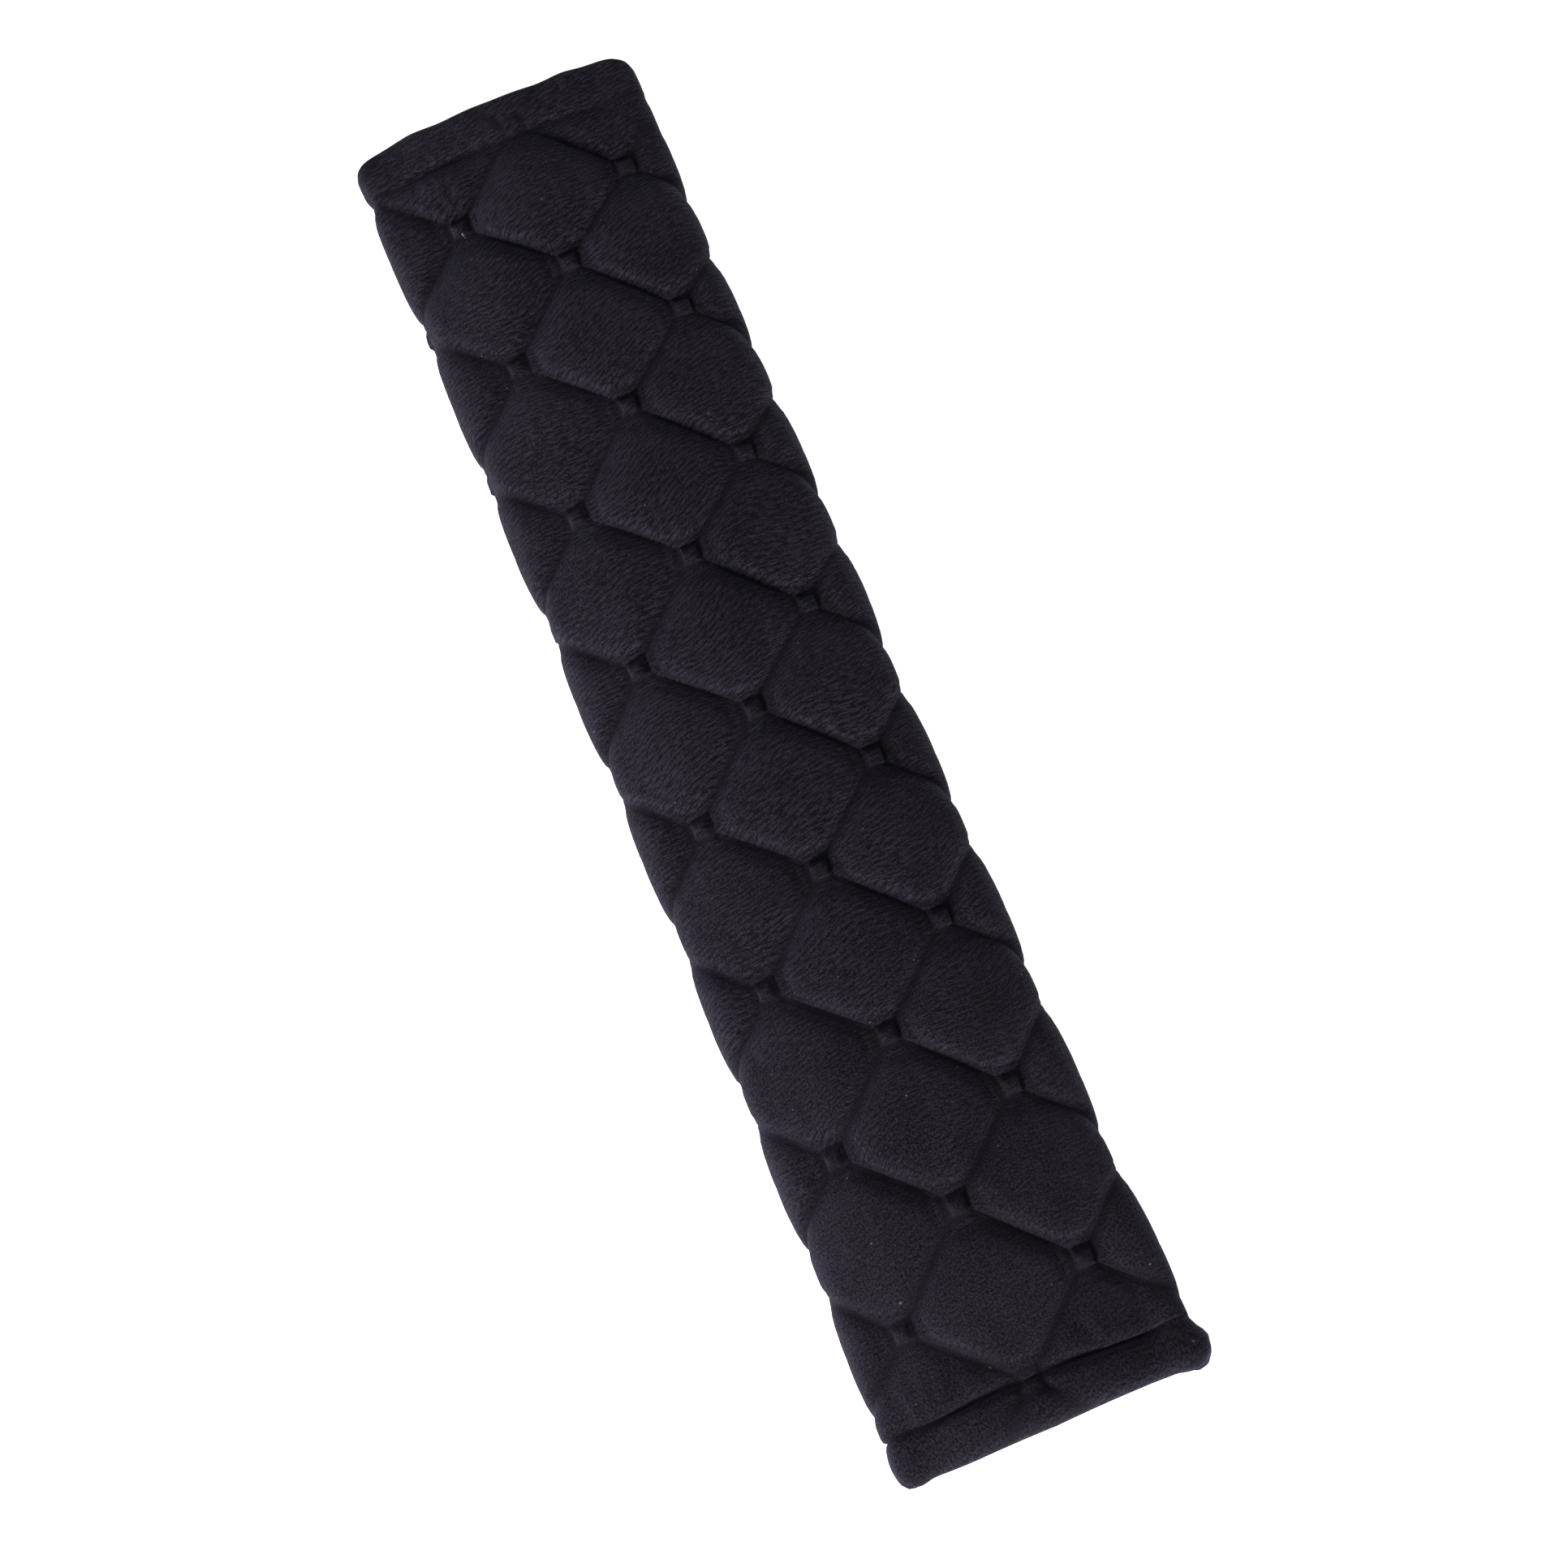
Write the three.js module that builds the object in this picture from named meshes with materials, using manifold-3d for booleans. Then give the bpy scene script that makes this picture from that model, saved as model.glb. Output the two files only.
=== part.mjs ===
// Seat belt shoulder pad: a quilted plush panel folded into a sleeve round the shoulder belt.
// Millimetres. X runs across the belt, Y along it and Z up. The pad lies on its closed side.
import * as THREE from 'three';
import Module from 'manifold-3d';
import { mergeVertices } from 'three/addons/utils/BufferGeometryUtils.js';

// Whole pad, closed
const PAD_LENGTH = 310;
const PAD_WIDTH = 61;
const FOLD_RADIUS = 5;
const BELT_ROOM = 4.6;

// Layers of the panel, measured at a seam where they are stitched flat
const COVER_THICKNESS = 0.6;
const FOAM_THICKNESS = 0.8;
const LINING_THICKNESS = 0.4;
const LAYER_GAP = 0.25;

// Quilting: two families of diagonal seams with a small stitched square at each crossing
const QUILT_PITCH = 36.8;
const CROSSING_SIDE = 4.3;
const CROSSING_PUFF = 1;
const FRONT_PUFF = 2.6;
const SIDE_PUFF = 1.2;
const BACK_PUFF = 0.9;
const PUFF_SHOULDER = 6.5;
const CROSSING_SHOULDER = 4;
const QUILT_OFFSET_ACROSS = 0.9;
const QUILT_OFFSET_ALONG = 1.5;
const QUILT_DRIFT = 5;
const DRIFT_FADE = 15;

// Hem at each end, where the cover is turned in
const HEM_WIDTH = 9.5;
const HEM_PUFF = 2.2;
const HEM_TURN = 12;
const GROOVE_SHOULDER = 4;
const FOAM_END_MARGIN = 3;

// Corners of the outline: how far each one reaches across the pad and drops along it
const TOP_LEFT_REACH = 14;
const TOP_LEFT_DROP = 6;
const TOP_RIGHT_REACH = 8;
const TOP_RIGHT_DROP = 6;
const BOTTOM_REACH = 5;
const BOTTOM_DROP = 4;

// Closure: hook tape inside the outer wing, loop tape outside the inner wing
const TAPE_WIDTH = 20;
const TAPE_THICKNESS = 0.9;
const TAPE_MARGIN = 2;
const TAPE_END_MARGIN = 5;
const OVERLAP_CENTRE = -4;
const STEP_RUN = 9;
const STEP_CLEARANCE = 1;
const EDGE_WALL = 1.2;

// Mesh density
const CURVED_STEP = 2.6;
const SMALLEST_STEP = 0.8;
const HEM_ROWS = [0.2, 0.55, 1];
const NOSE_ANGLES = [60, 30, 0, -30, -60];
const CUT_OVERSHOOT = 1;

// Levels across the panel, from the seam level of the plush inwards to the belt
const PANEL_DEPTH = COVER_THICKNESS + FOAM_THICKNESS + 2 * LAYER_GAP + LINING_THICKNESS;
const LINING_TOP = LINING_THICKNESS - PANEL_DEPTH;
const TAPE_STACK = 2 * TAPE_THICKNESS + 3 * LAYER_GAP;

// Heights of the seam level above the table
const OUTER_WING_Z = BACK_PUFF;
const INNER_WING_Z = OUTER_WING_Z + PANEL_DEPTH + TAPE_STACK;
const FRONT_Z = INNER_WING_Z + PANEL_DEPTH + BELT_ROOM + PANEL_DEPTH;

// Places across the pad
const OVERLAP = TAPE_WIDTH + 2 * TAPE_MARGIN;
const OUTER_EDGE_X = OVERLAP_CENTRE + OVERLAP / 2;
const INNER_EDGE_X = OVERLAP_CENTRE - OVERLAP / 2;
const FOLD_X = PAD_WIDTH / 2 - SIDE_PUFF - FOLD_RADIUS;
const FOLD_Z = OUTER_WING_Z + FOLD_RADIUS;

// Places along the pad
const GROOVE_Y = PAD_LENGTH / 2 - HEM_WIDTH;
const FLAP_EDGE_Y = PAD_LENGTH / 2 - HEM_TURN;

const wasm = await Module();
wasm.setup();

// The seam level in cross-section, from the outer wing's free edge round to the inner wing's
function sectionCurves() {
  const dome = FRONT_Z - FOLD_Z;
  const frontRadius =
    (FOLD_X ** 2 + dome ** 2 - FOLD_RADIUS ** 2) / (2 * (dome - FOLD_RADIUS));
  const frontCentreZ = FRONT_Z - frontRadius;
  const tangentAngle = Math.atan2(FOLD_Z - frontCentreZ, FOLD_X);
  const bottom = -Math.PI / 2;
  const at = (x, z) => new THREE.Vector2(x, z);
  const arc = (x, z, radius, from, to) =>
    new THREE.EllipseCurve(x, z, radius, radius, from, to, true);
  const stepTopX = OUTER_EDGE_X + STEP_CLEARANCE;
  const stepFootX = stepTopX + STEP_RUN;
  const stepMiddleX = (stepTopX + stepFootX) / 2;
  return {
    outerWing: new THREE.LineCurve(at(OUTER_EDGE_X, OUTER_WING_Z), at(-FOLD_X, OUTER_WING_Z)),
    leftFold: arc(-FOLD_X, FOLD_Z, FOLD_RADIUS, bottom, Math.PI - tangentAngle),
    front: arc(0, frontCentreZ, frontRadius, Math.PI - tangentAngle, tangentAngle),
    rightFold: arc(FOLD_X, FOLD_Z, FOLD_RADIUS, tangentAngle, bottom),
    rightWing: new THREE.LineCurve(at(FOLD_X, OUTER_WING_Z), at(stepFootX, OUTER_WING_Z)),
    step: new THREE.CubicBezierCurve(
      at(stepFootX, OUTER_WING_Z),
      at(stepMiddleX, OUTER_WING_Z),
      at(stepMiddleX, INNER_WING_Z),
      at(stepTopX, INNER_WING_Z),
    ),
    innerWing: new THREE.LineCurve(at(stepTopX, INNER_WING_Z), at(INNER_EDGE_X, INNER_WING_Z)),
  };
}

const CURVES = sectionCurves();
const SECTION = new THREE.CurvePath();
Object.values(CURVES).forEach((curve) => SECTION.add(curve));

// Stations: lengths along the section, measured from the middle of the front
const FRONT_HALF = CURVES.front.getLength() / 2;
const FOLD_LENGTH = CURVES.leftFold.getLength();
const SECTION_LENGTH = SECTION.getLength();
const OUTER_EDGE = -(FRONT_HALF + FOLD_LENGTH + CURVES.outerWing.getLength());
const INNER_EDGE = OUTER_EDGE + SECTION_LENGTH;
const FOLD_FOOT = FRONT_HALF + FOLD_LENGTH;
const STEP_FOOT = FOLD_FOOT + CURVES.rightWing.getLength();
const STEP_TOP = STEP_FOOT + CURVES.step.getLength();

// The point of the section at a station, and the direction that leads out of the sleeve there
function sectionAt(station) {
  const share = THREE.MathUtils.clamp((station - OUTER_EDGE) / SECTION_LENGTH, 0, 1);
  const point = SECTION.getPoint(share);
  const along = SECTION.getTangent(share);
  return { point, outward: new THREE.Vector2(-along.y, along.x) };
}

// Panel coordinates (station, y, height above the seam level) to a point in space
function place({ station, y, height }) {
  const { point, outward } = sectionAt(station);
  return new THREE.Vector3(
    point.x + outward.x * height,
    y,
    point.y + outward.y * height,
  );
}

// Where the pad ends at a station, at the top end (side 1) or the bottom end (side -1)
function endAt(station, side) {
  const x = sectionAt(station).point.x;
  const topReach = x < 0 ? TOP_LEFT_REACH : TOP_RIGHT_REACH;
  const topDrop = x < 0 ? TOP_LEFT_DROP : TOP_RIGHT_DROP;
  const reach = side > 0 ? topReach : BOTTOM_REACH;
  const drop = side > 0 ? topDrop : BOTTOM_DROP;
  const halfWidth = FOLD_X + FOLD_RADIUS;
  const share = THREE.MathUtils.clamp((Math.abs(x) - halfWidth + reach) / reach, 0, 1);
  return PAD_LENGTH / 2 - drop * (1 - Math.sqrt(1 - share ** 2));
}

// A rise that starts steeply at a seam and is full one shoulder away from it
function rise(distance, shoulder) {
  const left = 1 - THREE.MathUtils.clamp(distance / shoulder, 0, 1);
  return Math.sqrt(1 - left ** 2);
}

// How full a cell is here, from 0 at a seam to 1 on its crown
function quiltFullness(across, along) {
  const side = QUILT_PITCH / Math.SQRT2;
  const toSeam = (value) => Math.abs(value / side - Math.round(value / side)) * side;
  const rising = toSeam((across + along) / Math.SQRT2);
  const falling = toSeam((across - along) / Math.SQRT2);
  return rise(rising, PUFF_SHOULDER) * rise(falling, PUFF_SHOULDER);
}

// How far out of the nearest crossing's square this point lies, negative inside it
function beyondCrossing(across, along) {
  const half = QUILT_PITCH / 2;
  const column = Math.round(across / half);
  const row = 2 * Math.round((along / half - column) / 2) + column;
  const x = Math.abs(across - column * half);
  const y = Math.abs(along - row * half);
  return Math.max(x, y) - CROSSING_SIDE / 2;
}

// The tallest puff that this part of the section has room for
function puffRoom(station) {
  const away = Math.abs(station);
  const foldMiddle = FRONT_HALF + FOLD_LENGTH / 2;
  if (away < foldMiddle) {
    const share = THREE.MathUtils.smoothstep(away, FRONT_HALF / 2, foldMiddle);
    return THREE.MathUtils.lerp(FRONT_PUFF, SIDE_PUFF, share);
  }
  const turned = THREE.MathUtils.smoothstep(away, foldMiddle, FOLD_FOOT);
  const back = THREE.MathUtils.lerp(SIDE_PUFF, BACK_PUFF, turned);
  const stepMiddle = (STEP_FOOT + STEP_TOP) / 2;
  return back * (1 - THREE.MathUtils.smoothstep(station, STEP_FOOT, stepMiddle));
}

// Height of the plush above the seam level between the two hems
function quiltHeight(station, across, y) {
  const along = y - QUILT_OFFSET_ALONG;
  const beyond = beyondCrossing(across, along);
  const room = puffRoom(station) * rise(GROOVE_Y - Math.abs(y), GROOVE_SHOULDER);
  if (beyond < 0) {
    const share = -beyond / (CROSSING_SIDE / 2);
    return (room / FRONT_PUFF) * CROSSING_PUFF * share;
  }
  return room * quiltFullness(across, along) * rise(beyond, CROSSING_SHOULDER);
}

// Grid lines that meet the seams at their own vertices, between two limits
function quiltLines(from, to, origin) {
  const half = QUILT_PITCH / 2;
  const square = CROSSING_SIDE / 2;
  const third = (half - 2 * square) / 3;
  const offsets = [0, square, square + third, half - square - third, half - square];
  const lines = [from];
  for (let k = Math.floor((from - origin) / half); origin + k * half < to; k += 1) {
    offsets
      .map((offset) => origin + k * half + offset)
      .filter((line) => line > from + SMALLEST_STEP && line < to - SMALLEST_STEP)
      .forEach((line) => lines.push(line));
  }
  return [...lines, to];
}

// Splits the steps that lie where the section curves
function refined(stations) {
  const curved = (station) => {
    const away = Math.abs(station);
    const inFold = away > FRONT_HALF - QUILT_DRIFT && away < FOLD_FOOT + QUILT_DRIFT;
    return inFold || (station > STEP_FOOT && station < STEP_TOP);
  };
  const fine = [stations[0]];
  stations.slice(1).forEach((next, i) => {
    const last = stations[i];
    const parts = curved((last + next) / 2) ? Math.ceil((next - last) / CURVED_STEP) : 1;
    for (let part = 1; part <= parts; part += 1) {
      fine.push(last + ((next - last) * part) / parts);
    }
  });
  return fine;
}

const STATIONS = refined(quiltLines(OUTER_EDGE, INNER_EDGE, 0));
const ROWS = quiltLines(-GROOVE_Y, GROOVE_Y, QUILT_OFFSET_ALONG);

// The stations between two limits, with the limits themselves
function stationsBetween(from, to) {
  const inside = STATIONS.filter(
    (station) => station > from + SMALLEST_STEP && station < to - SMALLEST_STEP,
  );
  return [from, ...inside, to];
}

// A closed body from a row of closed profiles, each a loop of points in panel coordinates
function loft(profiles) {
  const count = profiles[0].length;
  const positions = profiles.flat().flatMap((point) => place(point).toArray());
  const heightOf = (column, k) => profiles[column][k].height;
  const index = [];
  for (let column = 0; column < profiles.length - 1; column += 1) {
    for (let k = 0; k < count; k += 1) {
      const next = (k + 1) % count;
      const [a, b] = [column * count + k, column * count + next];
      const [c, d] = [b + count, a + count];
      const straight = heightOf(column, k) + heightOf(column + 1, next);
      const crossed = heightOf(column, next) + heightOf(column + 1, k);
      if (straight <= crossed) {
        index.push(a, b, c, a, c, d);
      } else {
        index.push(a, b, d, b, c, d);
      }
    }
  }
  const cap = (profile) =>
    THREE.ShapeUtils.triangulateShape(
      profile.map(({ y, height }) => new THREE.Vector2(y, height)),
      [],
    );
  const last = (profiles.length - 1) * count;
  cap(profiles[0]).forEach(([a, b, c]) => index.push(c, b, a));
  cap(profiles.at(-1)).forEach(([a, b, c]) => index.push(last + a, last + b, last + c));
  const geometry = new THREE.BufferGeometry();
  geometry.setAttribute('position', new THREE.Float32BufferAttribute(positions, 3));
  geometry.setIndex(index);
  return geometry;
}

// A flat strip of the panel between two stations and two levels
function strip({ from, to, low, high, bottomEnd, topEnd }) {
  return loft(
    stationsBetween(from, to).map((station) => [
      { station, y: -bottomEnd(station), height: low },
      { station, y: topEnd(station), height: low },
      { station, y: topEnd(station), height: high },
      { station, y: -bottomEnd(station), height: high },
    ]),
  );
}

function toSolid(geometry) {
  const merged = mergeVertices(geometry);
  return new wasm.Manifold(
    new wasm.Mesh({
      numProp: 3,
      vertProperties: new Float32Array(merged.attributes.position.array),
      triVerts: new Uint32Array(merged.index.array),
    }),
  );
}

function toGeometry(solid) {
  const mesh = solid.getMesh();
  const geometry = new THREE.BufferGeometry();
  geometry.setAttribute('position', new THREE.BufferAttribute(mesh.vertProperties, 3));
  geometry.setIndex(new THREE.BufferAttribute(mesh.triVerts, 1));
  return geometry;
}

// One hem's outer points at a station, from its groove to just under its nose
function hemPoints(station, side) {
  const height = (puffRoom(station) * HEM_PUFF) / FRONT_PUFF;
  const noseRadius = (height + PANEL_DEPTH) / 2;
  const noseY = endAt(station, side) - noseRadius;
  const rows = HEM_ROWS.map((share) => ({
    station,
    y: side * THREE.MathUtils.lerp(GROOVE_Y, noseY, share),
    height: height * rise(share, HEM_ROWS[1]),
  }));
  const nose = NOSE_ANGLES.map((degrees) => {
    const angle = THREE.MathUtils.degToRad(degrees);
    return {
      station,
      y: side * (noseY + noseRadius * Math.cos(angle)),
      height: (height - PANEL_DEPTH) / 2 + noseRadius * Math.sin(angle),
    };
  });
  return [...rows, ...nose, { station, y: side * noseY, height: -PANEL_DEPTH }];
}

// The whole panel from the plush face to the lining face, with its ends rounded
function panelBody() {
  const profileAt = (column) => {
    const edgeDistance = Math.min(column - OUTER_EDGE, INNER_EDGE - column);
    const fade = THREE.MathUtils.clamp(edgeDistance / DRIFT_FADE, 0, 1);
    const face = ROWS.map((y) => {
      const drift = QUILT_OFFSET_ACROSS + (QUILT_DRIFT * y) / PAD_LENGTH;
      const station = column + drift * fade;
      return { station, y, height: quiltHeight(station, column, y) };
    });
    return [
      ...hemPoints(column, 1).reverse(),
      ...face.reverse(),
      ...hemPoints(column, -1),
    ];
  };
  return toSolid(loft(STATIONS.map(profileAt)));
}

const shortOfEnd = (margin) => ({
  topEnd: (station) => endAt(station, 1) - margin,
  bottomEnd: (station) => endAt(station, -1) - margin,
});
const straightEnds = (y) => ({ topEnd: () => y, bottomEnd: () => y });

// Plush cover: turned in at both ends and along both free edges, open where the lining lies
function plushCover() {
  const pocket = strip({
    from: OUTER_EDGE + EDGE_WALL,
    to: INNER_EDGE - EDGE_WALL,
    low: LINING_TOP,
    high: -COVER_THICKNESS,
    ...shortOfEnd(FOAM_END_MARGIN - LAYER_GAP),
  });
  const window = strip({
    from: OUTER_EDGE + EDGE_WALL,
    to: INNER_EDGE - EDGE_WALL,
    low: -PANEL_DEPTH - CUT_OVERSHOOT,
    high: LINING_TOP + LAYER_GAP,
    ...straightEnds(FLAP_EDGE_Y),
  });
  return toGeometry(panelBody().subtract(toSolid(pocket)).subtract(toSolid(window)));
}

function foamPadding() {
  return strip({
    from: OUTER_EDGE + EDGE_WALL + LAYER_GAP,
    to: INNER_EDGE - EDGE_WALL - LAYER_GAP,
    low: LINING_TOP + LAYER_GAP,
    high: -COVER_THICKNESS - LAYER_GAP,
    ...shortOfEnd(FOAM_END_MARGIN),
  });
}

function innerLining() {
  return strip({
    from: OUTER_EDGE + EDGE_WALL + LAYER_GAP,
    to: INNER_EDGE - EDGE_WALL - LAYER_GAP,
    low: -PANEL_DEPTH,
    high: LINING_TOP,
    ...straightEnds(FLAP_EDGE_Y - LAYER_GAP),
  });
}

function hookTape() {
  return strip({
    from: OUTER_EDGE + TAPE_MARGIN,
    to: OUTER_EDGE + TAPE_MARGIN + TAPE_WIDTH,
    low: -PANEL_DEPTH - LAYER_GAP - TAPE_THICKNESS,
    high: -PANEL_DEPTH - LAYER_GAP,
    ...shortOfEnd(TAPE_END_MARGIN),
  });
}

function loopTape() {
  return strip({
    from: INNER_EDGE - TAPE_MARGIN - TAPE_WIDTH,
    to: INNER_EDGE - TAPE_MARGIN,
    low: LAYER_GAP,
    high: LAYER_GAP + TAPE_THICKNESS,
    ...shortOfEnd(TAPE_END_MARGIN),
  });
}

function piece(name, geometry, color, roughness) {
  const mesh = new THREE.Mesh(
    geometry,
    new THREE.MeshStandardMaterial({ color, roughness, metalness: 0 }),
  );
  mesh.name = name;
  return mesh;
}

const pad = new THREE.Group();
pad.add(piece('plush_cover', plushCover(), 0x232028, 0.95));
pad.add(piece('foam_padding', foamPadding(), 0xd8d6d0, 0.9));
pad.add(piece('inner_lining', innerLining(), 0x1b1a1d, 0.85));
pad.add(piece('hook_tape', hookTape(), 0x151517, 0.6));
pad.add(piece('loop_tape', loopTape(), 0x1a1a1d, 0.9));

export default pad;
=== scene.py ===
"""Seat belt shoulder pad: a quilted plush sleeve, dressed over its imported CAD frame."""

import math

import bmesh
import bpy
import numpy as np
from bpy.props import FloatProperty, FloatVectorProperty, IntProperty, PointerProperty
from mathutils import Matrix, Vector


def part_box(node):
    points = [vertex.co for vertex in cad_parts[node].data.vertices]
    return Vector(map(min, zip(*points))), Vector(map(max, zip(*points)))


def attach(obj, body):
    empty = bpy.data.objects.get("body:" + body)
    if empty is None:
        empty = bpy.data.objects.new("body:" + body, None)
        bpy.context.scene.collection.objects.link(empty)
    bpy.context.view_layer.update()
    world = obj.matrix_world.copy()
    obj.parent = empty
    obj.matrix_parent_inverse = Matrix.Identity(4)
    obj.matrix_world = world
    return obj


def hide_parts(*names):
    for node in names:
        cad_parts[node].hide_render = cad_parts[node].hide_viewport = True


bl_info = {
    "name": "Seat Belt Shoulder Pad",
    "version": (1, 0, 0),
    "blender": (4, 5, 0),
    "location": "View3D > Sidebar > Shoulder Pad",
    "description": "Builds a quilted plush shoulder pad with its lining, tapes and stitching",
    "category": "Add Mesh",
}

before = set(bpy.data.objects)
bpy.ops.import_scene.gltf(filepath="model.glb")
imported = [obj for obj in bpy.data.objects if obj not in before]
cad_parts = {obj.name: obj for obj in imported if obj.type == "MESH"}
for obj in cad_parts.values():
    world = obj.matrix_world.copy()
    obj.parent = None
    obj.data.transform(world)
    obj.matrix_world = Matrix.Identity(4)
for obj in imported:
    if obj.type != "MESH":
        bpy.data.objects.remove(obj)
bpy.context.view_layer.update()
COVER_LOW, COVER_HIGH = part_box("plush_cover")
PANEL_UV = "panel"


def mm(value):
    """Millimetres to metres."""
    return value * 0.001


def to_linear(code):
    """An sRGB hex colour as linear red, green and blue."""
    shares = [int(code[i : i + 2], 16) / 255 for i in (0, 2, 4)]
    return [s / 12.92 if s <= 0.04045 else ((s + 0.055) / 1.055) ** 2.4 for s in shares]


def size(name, description, millimetres):
    """A length property, stated in millimetres."""
    return FloatProperty(
        name=name, description=description, default=mm(millimetres), unit="LENGTH", precision=5
    )


def angle_property(name, description, degrees):
    return FloatProperty(
        name=name, description=description, default=math.radians(degrees), subtype="ANGLE"
    )


def colour_property(name, description, code):
    return FloatVectorProperty(
        name=name, description=description, default=to_linear(code), subtype="COLOR", min=0, max=1
    )


class PadSizes(bpy.types.PropertyGroup):
    """Sizes of the closed pad and of its layers."""

    length: size("Length", "From end to end", (COVER_HIGH.y - COVER_LOW.y) * 1000)
    width: size("Width", "Across the closed pad", (COVER_HIGH.x - COVER_LOW.x) * 1000)
    fold_radius: size("Fold radius", "Radius of both side folds at seam level", 5)
    belt_room: size("Belt room", "Clear height for the belt webbing", 4.6)
    cover: size("Cover", "Thickness of the plush's knit back", 0.6)
    wadding: size("Wadding", "Thickness of the wadding where it is stitched", 0.8)
    lining: size("Lining", "Thickness of the lining", 0.4)
    layer_gap: size("Layer gap", "Air between two layers", 0.25)
    hem_width: size("Hem width", "From the stitched groove to the end", 9.5)
    hem_turn: size("Hem turn-in", "How far the plush is turned in at each end", 12)
    edge_wall: size("Edge wall", "Plush wall along the two free edges", 1.2)
    top_left_reach: size("Top left reach", "Corner's size across the pad", 12)
    top_left_drop: size("Top left drop", "Corner's size along the pad", 2)
    top_right_reach: size("Top right reach", "Corner's size across the pad", 7)
    top_right_drop: size("Top right drop", "Corner's size along the pad", 3)
    bottom_reach: size("Bottom reach", "Corners' size across the pad", 5)
    bottom_left_drop: size("Bottom left drop", "Corner's size along the pad", 3.4)
    bottom_right_drop: size("Bottom right drop", "Corner's size along the pad", 2.4)
    top_growth: size("Top growth", "How far the flattened top hem spreads out", 2.15)
    top_flare: size("Top flare", "How much further its corners spread", 1.1)
    top_curl: size("Top curl", "How far the top right corner lifts", 1)
    top_sag: size("Top sag", "How far the front sinks at the top end", 2.8)
    bottom_sag: size("Bottom sag", "How far the front sinks at the bottom end", 2.6)


class QuiltSizes(bpy.types.PropertyGroup):
    """Sizes of the quilted diamonds."""

    pitch: size("Pitch", "Between two crossings across or along the pad", 36.8)
    crossing: size("Crossing", "Side of the stitched square at each crossing", 4.3)
    front_puff: size("Front puff", "Height of a cell's crown on the front", 3.6)
    side_puff: size("Side puff", "Height of a cell's crown on the folds", 1.2)
    back_puff: size("Back puff", "Height of a cell's crown on the closed side", 0.9)
    hem_puff: size("Hem puff", "Height of the end hems", 2.5)
    left_pile: size("Left pile", "How far the pile fans out on the left fold", 0.65)
    right_pile: size("Right pile", "How far the pile fans out on the right fold", 1.3)
    lean: size("Lean", "How far the crowns lean towards the bottom end", 2.5)
    offset_across: size("Offset across", "Where a crossing lies beside the middle", 0.9)
    offset_along: size("Offset along", "Where a crossing lies beside the middle", 1.5)
    drift: size("Drift", "How far the rows lean from end to end", 5)
    creep: size("Creep", "How far the quilting has crept up the pad", 0.8)
    side_creep: size("Side creep", "How much further it has crept round the folds", 1.2)
    groove_creep: size("Groove creep", "How much further the hems' grooves have crept", 0.8)
    stitch: size("Stitch length", "From one stitch to the next", 2.5)
    thread: size("Thread", "Diameter of the sewing thread", 0.35)
    pressure: FloatProperty(
        name="Pressure", description="Pressure of the wadding in the simulation", default=4, min=0
    )
    frames: IntProperty(
        name="Frames", description="Frames that the cloth simulation runs", default=6, min=1, max=60
    )


class ClosureSizes(bpy.types.PropertyGroup):
    """Sizes of the hook and loop closure along the back."""

    tape_width: size("Tape width", "Width of both tapes", 20)
    tape_thickness: size("Tape thickness", "Thickness of each tape", 0.9)
    tape_margin: size("Tape margin", "From a tape to the wing's free edge", 2)
    end_margin: size("End margin", "From a tape's end to the pad's end", 5)
    centre: size("Overlap centre", "Middle of the overlap across the pad", -4)
    step_run: size("Step run", "How far the inner wing takes to step up", 9)
    step_clearance: size("Step clearance", "From the outer wing's edge to the step", 1)


class PadFinishes(bpy.types.PropertyGroup):
    """Colours of the pad's cloths."""

    plush_pile: colour_property("Plush pile", "Dyed plush seen into the pile", "0f0d12")
    plush_tips: colour_property("Plush tips", "Dyed plush where the tips catch the light", "312c36")
    # Painted shade along each seam, under each crown's lip and in the hems' grooves, over pressed
    # pile
    plush_seam_shade: colour_property("Plush seam", "Plush pressed down along a seam", "09080a")
    plush_sheen: colour_property("Plush sheen", "Soft light along the edges of the pile", "948cb0")
    lint: colour_property("Lint", "Specks of pale lint", "62606a")
    lining: colour_property("Lining", "Knitted lining", "1b1a1d")
    wadding: colour_property("Wadding", "Polyester wadding", "d8d6d0")
    hook_tape: colour_property("Hook tape", "Nylon hook tape", "151517")
    loop_tape: colour_property("Loop tape", "Brushed nylon loop tape", "1a1a1d")
    thread: colour_property("Thread", "Sewing thread", "0c0a0e")


class StageSettings(bpy.types.PropertyGroup):
    """Floor, camera and studio light."""

    floor: colour_property("Floor", "Opal light table", "f7f7f7")
    fill: FloatProperty(name="Fill", description="Strength of the even light", default=0.18, min=0)
    lens: FloatProperty(
        name="Lens", description="Focal length", default=100.8, subtype="DISTANCE_CAMERA", min=10
    )
    distance: size("Distance", "From the camera to the pad", 870.3)
    azimuth: angle_property("Azimuth", "Camera's turn round the pad", -7.32)
    elevation: angle_property("Elevation", "Camera's height over the floor", 67.53)
    roll: angle_property("Roll", "Camera's turn about its own line of sight", -15.45)
    aim: FloatVectorProperty(
        name="Aim",
        description="Point in the middle of the picture",
        default=(mm(0.83), mm(-13.79), mm(12)),
        subtype="TRANSLATION",
    )


def rise(distance, shoulder):
    """A rise that starts steeply at a seam and is full one shoulder away from it."""
    left = 1 - np.clip(distance / shoulder, 0, 1)
    return np.sqrt(1 - left**2)


def smooth(value, low, high):
    share = np.clip((value - low) / (high - low), 0, 1)
    return share * share * (3 - 2 * share)


def mix(first, second, share):
    return first + (second - first) * share


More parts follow.
